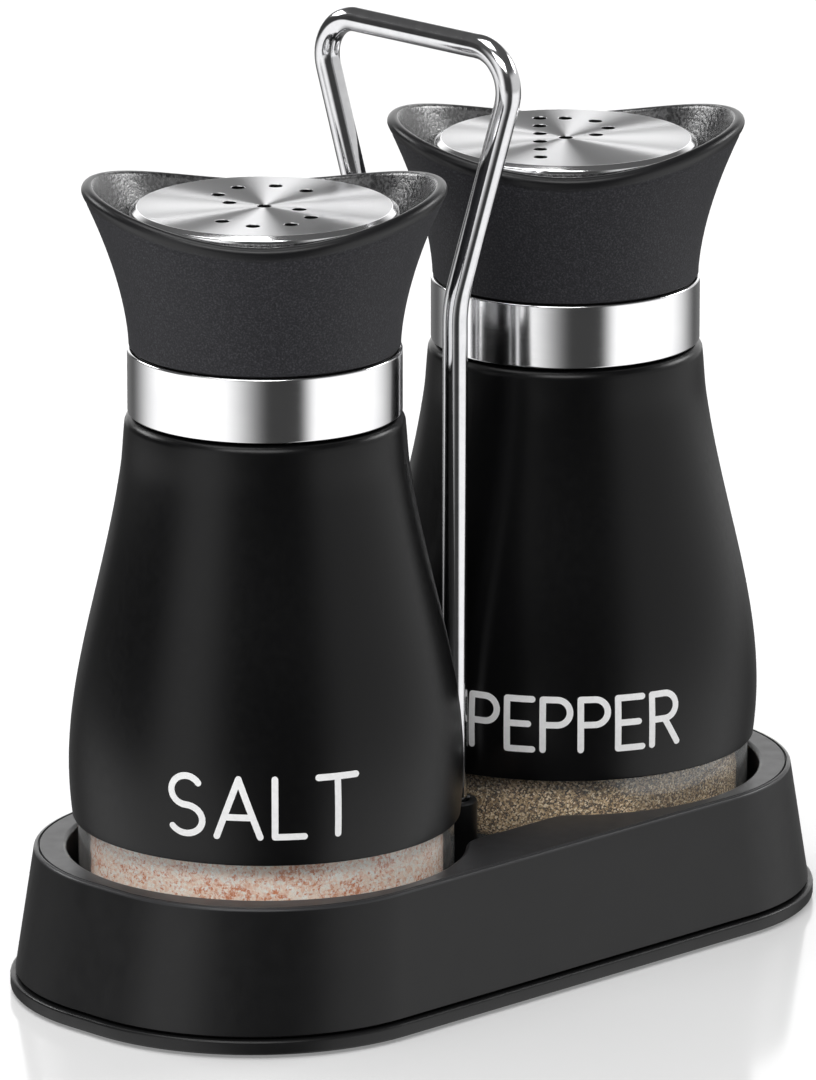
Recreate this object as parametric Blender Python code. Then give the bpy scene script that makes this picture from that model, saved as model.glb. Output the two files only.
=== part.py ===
"""Salt and pepper shakers standing in a holder with a wire handle.

Two glass shakers in painted steel sleeves, with screw-on caps, stand in the wells of a moulded
holder. The holder is hollow: a screwed bottom plate covers the nuts of the wire handle.

Sizes are in millimetres and meshes in metres. +Z is up, +X runs from the salt shaker to the
pepper shaker, and the origin is the middle of the footprint, on the table.
"""
import math

import bmesh
import bpy
from mathutils import Matrix, Vector

MM = 0.001
GAP = 0.3                   # gap between neighbouring pieces
SIDES = 24                  # facets round a shaker
WELL_SIDES = 40

# Holder
SHAKER_X = 33.3             # shaker axis from the middle of the holder
SHAKER_YAW = -45.0          # the lips of each collar point along this direction
BASE_HALF_LENGTH = 72.2     # wall at its lower edge
BASE_HALF_WIDTH = 36.4
DECK_HALF_LENGTH = 68.6     # wall at the deck
DECK_HALF_WIDTH = 34.6
END_FLAT = 3.5              # half the straight stretch of each rounded end
WALL_BOTTOM_Z = 3.3
DECK_Z = 23.1
DECK_FILLET = 1.0
SHELL_WALL = 2.2
WELL_RADIUS = 31.4
WELL_WALL = 1.8
WELL_FLOOR_Z = 9.2
WELL_UNDERSIDE_Z = 7.2
WAIST_HALF_WIDTH = 21.5     # the pocket that joins the two wells
WAIST_HALF_LENGTH = 11.0
WAIST_FLOOR_Z = 14.0
PLATE_BOTTOM_Z = 0.6
PLATE_TOP_Z = 2.9
PLATE_OVERHANG = 0.8
PLATE_CHAMFER = 0.4
RIB_HEIGHT = 1.2
RIB_WIDTH = 1.7
PAD_RADIUS = 5.5
PAD_THICKNESS = 1.6
PAD_X = 50.0
PAD_Y = 20.0
SCREW_X = 7.5
SCREW_Y = 28.0
BOSS_RADIUS = 3.2
PILOT_RADIUS = 1.3
SCREW_RADIUS = 1.0
SCREW_HEAD_RADIUS = 2.8
SCREW_TIP_Z = 11.0

# Handle
WIRE_RADIUS = 2.0
LEG_Y = 8.5
LEG_END_Z = 3.3
LEG_BEND_Z = 106.0
LEG_BEND_RADIUS = 20.0
TOP_Z = 148.2
TOP_HALF_WIDTH = 22.7
TOP_CORNER_RADIUS = 5.5
POST_RADIUS = 3.6
POST_BORE = 2.4
POST_TOP_Z = 25.2
POST_BOTTOM_Z = 7.0
NUT_ACROSS_FLATS = 7.0
NUT_BOTTOM_Z = 3.4
NUT_TOP_Z = 5.6
WASHER_RADIUS = 4.5
WASHER_BOTTOM_Z = 5.9
WASHER_TOP_Z = 6.7

# Shaker body, as (height, outer radius, slope of the radius)
BODY_KNOTS = ((28.15, 30.45, 0.13), (36.5, 31.0, 0.0), (62.0, 27.2, -0.235),
              (82.0, 22.95, -0.16), (93.0, 21.3, -0.16))
SLEEVE_SHEET = 0.6
GLASS_WALL = 2.2
GLASS_FOOT_Z = 9.5
GLASS_FLOOR_Z = 16.0
GLASS_BASE_RADIUS = 29.6
NECK_RADIUS = 17.2
NECK_BORE = 14.6
NECK_BOTTOM_Z = 92.8
NECK_TOP_Z = 104.0
FILL_TOP_Z = 75.0

# Cap
THREAD_PITCH = 4.0
THREAD_DEPTH = 1.1
THREAD_TURNS = 1.25
THREAD_ROOT = 1.5
THREAD_CREST = 0.8
THREAD_STEPS = 24           # facets in one turn of the thread
THREAD_START_Z = 97.0       # middle of the glass thread where it starts
CORE_RADIUS = 20.1
CORE_SKIRT_RADIUS = 20.6
CORE_BORE = 18.9
CORE_SHELF_BORE = 13.5
CORE_SHELF_Z = 105.8
CORE_SHELF_TOP_Z = 107.4
CORE_BOTTOM_Z = 93.6
CORE_TOP_Z = 124.9
SEAL_RADIUS = 18.3
SEAL_BORE = 13.8
BAND_RADIUS = 21.45
BAND_SHEET = 0.5
BAND_BOTTOM_Z = 93.3
BAND_TOP_Z = 103.5
DISC_RADIUS = 21.0
DISC_Z = 125.9
DISC_SHEET = 0.6
DISC_SKIRT_Z = 122.9
HOLE_RADIUS = 1.1
COLLAR_BOTTOM_RADIUS = 21.2
COLLAR_BOTTOM_Z = 103.8
COLLAR_BORE = 20.4
COLLAR_FLARE_POWER = 1.65
LIP_RADIUS = 1.0
LIP_CENTRE_RADIUS = (22.8, 27.4)    # at the dips and at the tips of the lip
LIP_CENTRE_Z = (123.7, 128.6)
WELL_EDGE_RADIUS = (22.0, 24.4)
WELL_EDGE_Z = (122.3, 125.0)
TRENCH_RADIUS = 21.7
TRENCH_FLOOR_Z = 118.6

# Pour holes: the salt's follow two half loops, the pepper's a straight stem and one half loop
HOLE_LOOP_RADIUS = 6.8
SALT_LOOP_STRETCH = 1.08
SALT_LOOP_STEPS = 5
SALT_LOOP_START = 30.0
PEPPER_LOOP_STEPS = 4
PEPPER_STEM_X = -4.1
PEPPER_STEM_HOLES = 6


def clear_scene():
    for item in list(bpy.data.objects):
        bpy.data.objects.remove(item)


def make_material(name, colour, roughness, metallic=0.0, transmission=0.0):
    material = bpy.data.materials.new(name)
    material.use_nodes = True
    shader = material.node_tree.nodes["Principled BSDF"]
    shader.inputs["Base Color"].default_value = (*colour, 1.0)
    shader.inputs["Roughness"].default_value = roughness
    shader.inputs["Metallic"].default_value = metallic
    shader.inputs["Transmission Weight"].default_value = transmission
    return material


def add_object(name, bm, material=None):
    """Turn a closed bmesh into a smooth-shaded object in the scene."""
    bmesh.ops.recalc_face_normals(bm, faces=bm.faces)
    mesh = bpy.data.meshes.new(name)
    bm.to_mesh(mesh)
    bm.free()
    mesh.shade_smooth()
    mesh.set_sharp_from_angle(angle=math.radians(32))
    item = bpy.data.objects.new(name, mesh)
    bpy.context.scene.collection.objects.link(item)
    if material:
        mesh.materials.append(material)
    return item


def revolve(section_at, sides=SIDES):
    """Closed body from one section per angle; a section is a list of (radius, height).

    A section that starts and ends on the axis makes a solid. Any other is closed on itself and
    makes a ring.
    """
    bm = bmesh.new()
    angles = [2 * math.pi * i / sides for i in range(sides)]
    sections = [section_at(angle) for angle in angles]
    rows = []
    for j, (radius, height) in enumerate(sections[0]):
        if radius == 0:
            rows.append([bm.verts.new((0, 0, height * MM))] * sides)
            continue
        row = []
        for angle, section in zip(angles, sections):
            radius, height = section[j]
            point = Vector((radius * math.cos(angle), radius * math.sin(angle), height))
            row.append(bm.verts.new(point * MM))
        rows.append(row)
    is_solid = sections[0][0][0] == 0
    for j in range(len(rows) - is_solid):
        lower = rows[j]
        upper = rows[(j + 1) % len(rows)]
        for i in range(sides):
            k = (i + 1) % sides
            bm.faces.new(dict.fromkeys((lower[i], lower[k], upper[k], upper[i])))
    return bm


def turned(name, section, material=None, sides=SIDES, at=(0, 0)):
    """Object turned about a vertical axis at the place given."""
    item = add_object(name, revolve(lambda angle: section, sides), material)
    item.data.transform(Matrix.Translation(Vector((*at, 0)) * MM))
    return item


def cylinder(name, radius, low, high, material=None, sides=SIDES, at=(0, 0)):
    section = [(0, low), (radius, low), (radius, high), (0, high)]
    return turned(name, section, material, sides, at)


def loft(rings):
    """Closed body through rings of equally many points, capped at both ends."""
    bm = bmesh.new()
    rows = [[bm.verts.new(point * MM) for point in ring] for ring in rings]
    for lower, upper in zip(rows, rows[1:]):
        for i in range(len(lower)):
            k = (i + 1) % len(lower)
            bm.faces.new((lower[i], lower[k], upper[k], upper[i]))
    bm.faces.new(rows[0])
    bm.faces.new(rows[-1])
    return bm


def footprint(half_length, half_width, height, corner_steps=8):
    """Ring of points round the holder's outline: a rectangle with large round corners."""
    radius = half_width - END_FLAT
    points = []
    for quadrant in range(4):
        x_sign = 1 if quadrant in (0, 3) else -1
        y_sign = 1 if quadrant in (0, 1) else -1
        for step in range(corner_steps + 1):
            angle = math.pi / 2 * (quadrant + step / corner_steps)
            x = x_sign * (half_length - radius) + radius * math.cos(angle)
            y = y_sign * (half_width - radius) + radius * math.sin(angle)
            points.append(Vector((x, y, height)))
    return points


def wall_footprint(height, inset=0.0):
    """Outline of the holder's drafted wall at a height, moved inwards by the inset."""
    share = (height - WALL_BOTTOM_Z) / (DECK_Z - WALL_BOTTOM_Z)
    half_length = BASE_HALF_LENGTH + share * (DECK_HALF_LENGTH - BASE_HALF_LENGTH)
    half_width = BASE_HALF_WIDTH + share * (DECK_HALF_WIDTH - BASE_HALF_WIDTH)
    return footprint(half_length - inset, half_width - inset, height)


def block(name, half_x, half_y, low, high):
    corners = ((half_x, half_y), (-half_x, half_y), (-half_x, -half_y), (half_x, -half_y))
    rings = [[Vector((x, y, z)) for x, y in corners] for z in (low, high)]
    return add_object(name, loft(rings))


def joined(items):
    """One object from several that stay clear of each other."""
    bm = bmesh.new()
    for item in items:
        bm.from_mesh(item.data)
        bpy.data.objects.remove(item)
    return add_object("joined", bm)


def combine(target, tools, operation):
    """Apply a Boolean with each tool in turn and delete the tools."""
    for tool in tools:
        modifier = target.modifiers.new("boolean", "BOOLEAN")
        modifier.operation = operation
        modifier.object = tool
        depsgraph = bpy.context.evaluated_depsgraph_get()
        result = bpy.data.meshes.new_from_object(target.evaluated_get(depsgraph))
        target.modifiers.clear()
        result.name = target.name
        target.data = result
        bpy.data.objects.remove(tool)


def corner_arc(before, corner, after, radius, steps):
    """Points of an arc that rounds a corner between two straight lines."""
    incoming = (before - corner).normalized()
    outgoing = (after - corner).normalized()
    half_angle = incoming.angle(outgoing) / 2
    centre = corner + (incoming + outgoing).normalized() * (radius / math.sin(half_angle))
    reach = radius / math.tan(half_angle)
    start = (corner + incoming * reach - centre).normalized()
    end = (corner + outgoing * reach - centre).normalized()
    return [centre + start.slerp(end, i / steps) * radius for i in range(steps + 1)]


def body_radius(height):
    """Outer radius of a shaker's sleeve at a height, a smooth curve through the knots."""
    for (z0, r0, s0), (z1, r1, s1) in zip(BODY_KNOTS, BODY_KNOTS[1:]):
        if height <= z1:
            break
    t = (height - z0) / (z1 - z0)
    rise = t * t * (3 - 2 * t)
    start = s0 * t * (1 - t) ** 2
    end = s1 * t * t * (t - 1)
    return r0 + (r1 - r0) * rise + (start + end) * (z1 - z0)


def body_levels(steps=6):
    low, high = BODY_KNOTS[0][0], BODY_KNOTS[-1][0]
    return [low + (high - low) * i / steps for i in range(steps + 1)]


def make_shell(material):
    """Holder shell: drafted wall, deck, two wells, waist, handle posts and screw bosses."""
    outer = [wall_footprint(WALL_BOTTOM_Z), wall_footprint(DECK_Z - DECK_FILLET),
             wall_footprint(DECK_Z - 0.3 * DECK_FILLET, 0.3 * DECK_FILLET),
             wall_footprint(DECK_Z, DECK_FILLET)]
    shell = add_object("caddy_shell", loft(outer), material)
    cavity = [wall_footprint(WALL_BOTTOM_Z - 1, SHELL_WALL),
              wall_footprint(DECK_Z - SHELL_WALL, SHELL_WALL)]
    combine(shell, [add_object("cavity", loft(cavity))], "DIFFERENCE")

    inside_deck_z = DECK_Z - SHELL_WALL / 2
    inner_walls = [block("waist_block", WAIST_HALF_LENGTH + WELL_WALL, WAIST_HALF_WIDTH + WELL_WALL,
                         WELL_UNDERSIDE_Z + 1, inside_deck_z)]
    for side in (-1, 1):
        cup_radius = WELL_RADIUS + WELL_WALL
        inner_walls.append(cylinder("cup", cup_radius, WELL_UNDERSIDE_Z, inside_deck_z,
                                    sides=WELL_SIDES, at=(side * SHAKER_X, 0)))
        for end in (-1, 1):
            boss_z = PLATE_TOP_Z + GAP
            inner_walls.append(cylinder("boss", BOSS_RADIUS, boss_z, inside_deck_z, sides=16,
                                        at=(side * SCREW_X, end * SCREW_Y)))
    combine(shell, inner_walls, "UNION")

    above_deck_z = DECK_Z + 1
    cuts = []
    for side in (-1, 1):
        cuts.append(cylinder("well", WELL_RADIUS, WELL_FLOOR_Z, above_deck_z,
                             sides=WELL_SIDES, at=(side * SHAKER_X, 0)))
        for end in (-1, 1):
            cuts.append(cylinder("pilot", PILOT_RADIUS, 0, SCREW_TIP_Z + 1, sides=12,
                                 at=(side * SCREW_X, end * SCREW_Y)))
    cuts.append(block("waist", WAIST_HALF_LENGTH, WAIST_HALF_WIDTH, WAIST_FLOOR_Z, above_deck_z))
    combine(shell, cuts, "DIFFERENCE")

    leg_places = [(0, -LEG_Y), (0, LEG_Y)]
    posts = [cylinder("post", POST_RADIUS, POST_BOTTOM_Z, POST_TOP_Z, sides=20, at=place)
             for place in leg_places]
    combine(shell, posts, "UNION")
    bores = [cylinder("bore", POST_BORE, 0, POST_TOP_Z + 1, sides=16, at=place)
             for place in leg_places]
    combine(shell, bores, "DIFFERENCE")


def make_bottom_plate(material):
    """Plate that closes the holder from below, with a rib that locates it in the wall."""
    edge = [(PLATE_BOTTOM_Z, PLATE_OVERHANG - PLATE_CHAMFER),
            (PLATE_BOTTOM_Z + PLATE_CHAMFER, PLATE_OVERHANG), (PLATE_TOP_Z, PLATE_OVERHANG)]
    rings = [footprint(BASE_HALF_LENGTH + grow, BASE_HALF_WIDTH + grow, z) for z, grow in edge]
    plate = add_object("bottom_plate", loft(rings), material)
    rib_inset = SHELL_WALL + 2 * GAP
    rib = []
    for inset, low, high in ((rib_inset, PLATE_TOP_Z - 1, PLATE_TOP_Z + RIB_HEIGHT),
                             (rib_inset + RIB_WIDTH, PLATE_TOP_Z, PLATE_TOP_Z + RIB_HEIGHT + 1)):
        rings = [footprint(BASE_HALF_LENGTH - inset, BASE_HALF_WIDTH - inset, z)
                 for z in (low, high)]
        rib.append(add_object("rib", loft(rings)))
    combine(rib[0], [rib[1]], "DIFFERENCE")
    combine(plate, [rib[0]], "UNION")

    cuts = []
    for x, y in four_corners(PAD_X, PAD_Y):
        cuts.append(cylinder("recess", PAD_RADIUS + GAP, 0, PAD_THICKNESS + GAP, sides=16,
                             at=(x, y)))
    for x, y in four_corners(SCREW_X, SCREW_Y):
        head_room = SCREW_HEAD_RADIUS + GAP
        cuts.append(cylinder("counterbore", head_room, 0, PLATE_BOTTOM_Z + 1.4, sides=12,
                             at=(x, y)))
        cuts.append(cylinder("clearance", PILOT_RADIUS + 0.1, 0, PLATE_TOP_Z + 1, sides=8,
                             at=(x, y)))
    combine(plate, cuts, "DIFFERENCE")


def four_corners(x, y):
    return ((-x, -y), (x, -y), (x, y), (-x, y))


def make_base_fittings(rubber, steel):
    for number, place in enumerate(four_corners(PAD_X, PAD_Y), 1):
        cylinder(f"foot_pad_{number}", PAD_RADIUS, 0, PAD_THICKNESS, rubber, 16, place)
    head_low = PLATE_BOTTOM_Z + 0.2
    head_high = PLATE_BOTTOM_Z + 1.1
    section = [(0, head_low), (SCREW_HEAD_RADIUS - 0.5, head_low),
               (SCREW_HEAD_RADIUS, head_low + 0.4), (SCREW_HEAD_RADIUS, head_high),
               (SCREW_RADIUS, head_high), (SCREW_RADIUS, SCREW_TIP_Z - 1), (0, SCREW_TIP_Z)]
    for number, place in enumerate(four_corners(SCREW_X, SCREW_Y), 1):
        turned(f"base_screw_{number}", section, steel, 12, place)


def handle_path():
    """Centre line of the bent wire, from the end of one leg over the top to the other."""
    front = [Vector((0, -LEG_Y, LEG_END_Z)), Vector((0, -LEG_Y, LEG_BEND_Z)),
             Vector((0, -TOP_HALF_WIDTH, TOP_Z))]
    back = [Vector((0, -point.y, point.z)) for point in reversed(front)]
    points = [front[0]]
    points += corner_arc(*front, LEG_BEND_RADIUS, 4)
    points += corner_arc(front[1], front[2], back[0], TOP_CORNER_RADIUS, 7)
    points += corner_arc(front[2], back[0], back[1], TOP_CORNER_RADIUS, 7)
    points += corner_arc(*back, LEG_BEND_RADIUS, 4)
    points.append(back[2])
    return points


def make_handle(chrome, steel):
    curve = bpy.data.curves.new("handle_wire", "CURVE")
    curve.dimensions = "3D"
    curve.bevel_depth = WIRE_RADIUS * MM
    curve.bevel_resolution = 4
    curve.use_fill_caps = True
    spline = curve.splines.new("POLY")
    points = handle_path()
    spline.points.add(len(points) - 1)
    for slot, point in zip(spline.points, points):
        slot.co = (*(point * MM), 1)
    curve.materials.append(chrome)
    wire = bpy.data.objects.new("handle_wire", curve)
    bpy.context.scene.collection.objects.link(wire)

    corner_radius = NUT_ACROSS_FLATS / math.sqrt(3)
    for side, y in (("front", -LEG_Y), ("back", LEG_Y)):
        washer = [(POST_BORE, WASHER_BOTTOM_Z), (WASHER_RADIUS, WASHER_BOTTOM_Z),
                  (WASHER_RADIUS, WASHER_TOP_Z), (POST_BORE, WASHER_TOP_Z)]
        turned(f"handle_washer_{side}", washer, steel, 16, (0, y))
        nut = cylinder(f"handle_nut_{side}", corner_radius, NUT_BOTTOM_Z, NUT_TOP_Z, steel, 6,
                       (0, y))
        bore = cylinder("bore", POST_BORE, NUT_BOTTOM_Z - 1, NUT_TOP_Z + 1, sides=12, at=(0, y))
        combine(nut, [bore], "DIFFERENCE")


def glass_outer():
    """Outside of the bottle from its foot to its neck."""
    gap = SLEEVE_SHEET + GAP + 0.05
    foot = [(0, GLASS_FOOT_Z + 1.2), (21.5, GLASS_FOOT_Z + 1.2), (23.5, GLASS_FOOT_Z),
            (26.6, GLASS_FOOT_Z), (28.6, GLASS_FOOT_Z + 1.6), (29.4, 15.0),
            (GLASS_BASE_RADIUS, 20.0), (GLASS_BASE_RADIUS, 25.5)]
    sides = [(body_radius(z) - gap, z) for z in body_levels()[:-1]]
    neck = [(19.9, 91.0), (NECK_RADIUS, NECK_BOTTOM_Z), (NECK_RADIUS, NECK_TOP_Z - 0.4),
            (NECK_RADIUS - 0.4, NECK_TOP_Z)]
    return foot + sides + neck


def glass_inner(offset, top_z):
    """Inside of the bottle from the middle of its floor to a height, moved in by an offset."""
    gap = SLEEVE_SHEET + GAP + 0.05 + GLASS_WALL
    points = [(0, GLASS_FLOOR_Z + offset), (23.5, GLASS_FLOOR_Z + offset),
              (26.3 - offset, GLASS_FLOOR_Z + 1.6 + offset), (27.3 - offset, 21.5),
              (27.3 - offset, 25.5)]
    points += [(body_radius(z) - gap - offset, z) for z in body_levels()[:-1] if z < top_z]
    return points


def thread(name, wall_radius, outwards, start_z):
    """Helical ridge whose root lies inside the wall that it is joined to."""
    bm = bmesh.new()
    embed = 0.7
    root = wall_radius - outwards * embed
    crest = wall_radius + outwards * THREAD_DEPTH
    section = ((root, -THREAD_ROOT / 2), (crest, -THREAD_CREST / 2), (crest, THREAD_CREST / 2),
               (root, THREAD_ROOT / 2))
    rows = []
    for step in range(round(THREAD_STEPS * THREAD_TURNS) + 1):
        turns = step / THREAD_STEPS
        angle = 2 * math.pi * turns
        row = [Vector((radius * math.cos(angle), radius * math.sin(angle),
                       start_z + THREAD_PITCH * turns + rise)) for radius, rise in section]
        rows.append([bm.verts.new(point * MM) for point in row])
    for lower, upper in zip(rows, rows[1:]):
        for i in range(4):
            k = (i + 1) % 4
            bm.faces.new((lower[i], lower[k], upper[k], upper[i]))
    bm.faces.new(rows[0])
    bm.faces.new(rows[-1])
    return add_object(name, bm)


def make_bottle(flavour, glass):
    inner = glass_inner(0, NECK_BOTTOM_Z)
    section = glass_outer() + [(NECK_BORE, NECK_TOP_Z), (NECK_BORE, NECK_BOTTOM_Z - 0.5)]
    section += reversed(inner)
    bottle = turned(f"{flavour}_glass_bottle", section, glass)
    ridge = thread("thread", NECK_RADIUS, 1, THREAD_START_Z)
    combine(bottle, [ridge], "UNION")
    return bottle


def make_sleeve(flavour, paint):
    outside = [(body_radius(z), z) for z in body_levels()]
    inside = [(radius - SLEEVE_SHEET, z) for radius, z in reversed(outside)]
    return turned(f"{flavour}_sleeve", outside + inside, paint)


def make_fill(flavour, material):
    """Salt or pepper heaped slightly in the middle of the bottle."""
    section = glass_inner(GAP, FILL_TOP_Z)
    section += [(section[-1][0] - 0.6, FILL_TOP_Z), (0, FILL_TOP_Z + 2)]
    return turned(f"{flavour}_fill", section, material)


def make_seal(flavour, rubber):
    low = NECK_TOP_Z + GAP
    high = CORE_SHELF_Z - GAP
    section = [(SEAL_BORE, low), (SEAL_RADIUS, low), (SEAL_RADIUS, high), (SEAL_BORE, high)]
    return turned(f"{flavour}_seal_ring", section, rubber)


def make_core(flavour, plastic):
    """Threaded inner cap that carries the collar, the band and the disc."""
    section = [(CORE_SKIRT_RADIUS, CORE_BOTTOM_Z), (CORE_SKIRT_RADIUS, BAND_TOP_Z - 0.1),
               (CORE_RADIUS, BAND_TOP_Z - 0.1), (CORE_RADIUS, CORE_TOP_Z),
               (CORE_RADIUS - 1.5, CORE_TOP_Z), (CORE_RADIUS - 1.5, CORE_SHELF_TOP_Z),
               (CORE_SHELF_BORE, CORE_SHELF_TOP_Z), (CORE_SHELF_BORE, CORE_SHELF_Z),
               (CORE_BORE, CORE_SHELF_Z), (CORE_BORE, CORE_BOTTOM_Z)]
    core = turned(f"{flavour}_cap_core", section, plastic)
    ridge = thread("thread", CORE_BORE, -1, THREAD_START_Z - THREAD_PITCH / 2)
    combine(core, [ridge], "UNION")
    return core


def make_band(flavour, steel):
    inner = BAND_RADIUS - BAND_SHEET
    section = [(inner, BAND_BOTTOM_Z), (BAND_RADIUS, BAND_BOTTOM_Z),
               (BAND_RADIUS, BAND_TOP_Z), (inner, BAND_TOP_Z)]
    return turned(f"{flavour}_neck_band", section, steel)


def collar_section(angle):
    """Section of the collar: its lip rises and flares most along X, and dips along Y."""
    tip = math.cos(angle) ** 2

    def between(pair):
        return pair[0] + (pair[1] - pair[0]) * tip

    lip_radius = between(LIP_CENTRE_RADIUS)
    lip_z = between(LIP_CENTRE_Z)
    flare = lip_radius + LIP_RADIUS - COLLAR_BOTTOM_RADIUS
    section = [(COLLAR_BORE, COLLAR_BOTTOM_Z)]
    flare_steps = 5
    for i in range(flare_steps + 1):
        share = i / flare_steps
        radius = COLLAR_BOTTOM_RADIUS + flare * share ** COLLAR_FLARE_POWER
        section.append((radius, COLLAR_BOTTOM_Z + (lip_z - COLLAR_BOTTOM_Z) * share))
    for turn in (60, 120, 180):
        section.append((lip_radius + LIP_RADIUS * math.cos(math.radians(turn)),
                        lip_z + LIP_RADIUS * math.sin(math.radians(turn))))
    section += [(between(WELL_EDGE_RADIUS), between(WELL_EDGE_Z)),
                (TRENCH_RADIUS, TRENCH_FLOOR_Z + 0.6), (COLLAR_BORE + 0.4, TRENCH_FLOOR_Z),
                (COLLAR_BORE, TRENCH_FLOOR_Z - 0.6)]
    return section


def make_collar(flavour, plastic):
    return add_object(f"{flavour}_collar", revolve(collar_section, 32), plastic)


def salt_holes():
    """Hole centres along an S: one half loop, and the same turned half round."""
    places = []
    for step in range(SALT_LOOP_STEPS + 1):
        share = step / SALT_LOOP_STEPS
        angle = math.radians(SALT_LOOP_START + (270 - SALT_LOOP_START) * share)
        x = SALT_LOOP_STRETCH * HOLE_LOOP_RADIUS * math.cos(angle)
        y = HOLE_LOOP_RADIUS * (1 + math.sin(angle))
        places.append((x, y))
    return places + [(-x, -y) for x, y in places[:-1]]


def pepper_holes():
    """Hole centres along a P: a straight stem, and a half loop beside its upper half."""
    top = 2 * HOLE_LOOP_RADIUS
    places = []
    for step in range(PEPPER_STEM_HOLES):
        share = step / (PEPPER_STEM_HOLES - 1)
        places.append((PEPPER_STEM_X, top * (2 * share - 1)))
    for step in range(PEPPER_LOOP_STEPS + 1):
        angle = math.pi * (step / PEPPER_LOOP_STEPS - 0.5)
        places.append((HOLE_LOOP_RADIUS * math.cos(angle),
                       HOLE_LOOP_RADIUS * (1 + math.sin(angle))))
    return places


def make_disc(flavour, steel, hole_places):
    """Pressed disc with a short skirt that fits round the top of the core."""
    sheet = DISC_SHEET
    section = [(0, DISC_Z), (DISC_RADIUS - 1.2, DISC_Z), (DISC_RADIUS - 0.4, DISC_Z - 0.3),
               (DISC_RADIUS, DISC_Z - 1.0), (DISC_RADIUS, DISC_SKIRT_Z),
               (DISC_RADIUS - sheet, DISC_SKIRT_Z), (DISC_RADIUS - sheet, DISC_Z - sheet - 0.4),
               (DISC_RADIUS - sheet - 0.4, DISC_Z - sheet), (0, DISC_Z - sheet)]
    disc = turned(f"{flavour}_pour_disc", section, steel)
    holes = [cylinder("hole", HOLE_RADIUS, DISC_Z - 3, DISC_Z + 1, sides=8, at=place)
             for place in hole_places]
    combine(disc, [joined(holes)], "DIFFERENCE")
    return disc


def add_pivot(name, x):
    """Empty on a shaker's axis; the shaker's pieces hang from it."""
    pivot = bpy.data.objects.new(name, None)
    pivot.location = Vector((x, 0, 0)) * MM
    pivot.rotation_euler = (0, 0, math.radians(SHAKER_YAW))
    bpy.context.scene.collection.objects.link(pivot)
    return pivot


def make_shaker(flavour, x, fill, hole_places, materials):
    stand = add_pivot(f"{flavour}_stand", x)
    cap_axis = add_pivot(f"{flavour}_cap_axis", x)
    for item in (make_bottle(flavour, materials["glass"]),
                 make_sleeve(flavour, materials["paint"]),
                 make_fill(flavour, fill)):
        item.parent = stand
    for item in (make_seal(flavour, materials["silicone"]),
                 make_core(flavour, materials["plastic"]),
                 make_band(flavour, materials["steel"]),
                 make_collar(flavour, materials["collar"]),
                 make_disc(flavour, materials["brushed"], hole_places)):
        item.parent = cap_axis


def main():
    clear_scene()
    materials = {
        "plastic": make_material("holder_plastic", (0.03, 0.03, 0.032), 0.42),
        "collar": make_material("collar_plastic", (0.035, 0.035, 0.04), 0.6),
        "paint": make_material("sleeve_paint", (0.012, 0.012, 0.013), 0.38),
        "steel": make_material("polished_steel", (0.78, 0.78, 0.79), 0.14, 1.0),
        "brushed": make_material("brushed_steel", (0.72, 0.72, 0.73), 0.3, 1.0),
        "chrome": make_material("chrome_wire", (0.82, 0.82, 0.84), 0.07, 1.0),
        "zinc": make_material("zinc_fixings", (0.55, 0.56, 0.58), 0.35, 1.0),
        "glass": make_material("clear_glass", (0.95, 0.97, 0.97), 0.04, 0.0, 1.0),
        "silicone": make_material("seal_silicone", (0.75, 0.75, 0.73), 0.5),
        "rubber": make_material("foot_rubber", (0.02, 0.02, 0.02), 0.85),
    }
    salt = make_material("pink_salt", (0.85, 0.58, 0.47), 0.7)
    pepper = make_material("ground_pepper", (0.28, 0.2, 0.13), 0.85)

    make_shell(materials["plastic"])
    make_bottom_plate(materials["plastic"])
    make_base_fittings(materials["rubber"], materials["zinc"])
    make_handle(materials["chrome"], materials["zinc"])
    make_shaker("salt", -SHAKER_X, salt, salt_holes(), materials)
    make_shaker("pepper", SHAKER_X, pepper, pepper_holes(), materials)


main()
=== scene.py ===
"""Looks of the salt and pepper shakers: fine pieces, materials, lights and camera.

Each fine piece stands for the CAD node of the same part. Pieces are modelled in millimetres and
turned into metres when they are finished. A shaker's pieces are modelled about the shaker's own
axis and then placed: local -Y is the side with the label, and the collar's lips point along X.
"""
import math

import bmesh
import bpy
from mathutils import Matrix, Vector, noise


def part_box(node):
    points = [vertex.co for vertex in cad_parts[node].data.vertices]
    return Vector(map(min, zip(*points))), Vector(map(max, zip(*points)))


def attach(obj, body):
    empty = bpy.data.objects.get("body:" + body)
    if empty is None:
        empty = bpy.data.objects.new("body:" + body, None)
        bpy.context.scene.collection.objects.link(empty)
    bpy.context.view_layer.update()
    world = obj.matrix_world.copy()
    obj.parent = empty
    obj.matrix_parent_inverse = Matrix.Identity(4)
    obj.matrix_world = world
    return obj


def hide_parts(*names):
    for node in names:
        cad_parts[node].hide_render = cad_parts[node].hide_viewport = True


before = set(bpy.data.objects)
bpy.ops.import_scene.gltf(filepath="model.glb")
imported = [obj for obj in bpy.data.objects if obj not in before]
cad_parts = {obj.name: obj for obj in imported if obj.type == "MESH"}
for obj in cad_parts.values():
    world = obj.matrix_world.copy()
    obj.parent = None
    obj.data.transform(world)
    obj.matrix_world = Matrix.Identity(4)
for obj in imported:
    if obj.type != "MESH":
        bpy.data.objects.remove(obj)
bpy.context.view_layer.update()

MM = 0.001


def node_low(node):
    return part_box(node)[0] / MM


def node_high(node):
    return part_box(node)[1] / MM


def node_middle(node):
    return (node_low(node) + node_high(node)) / 2


def node_radius(node):
    """Half the width of a turned node."""
    return (node_high(node) - node_low(node)).x / 2


FLAVOURS = ("salt", "pepper")
SHAKER_YAW = -45.0
SHAKER_X = node_middle("pepper_seal_ring").x

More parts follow.
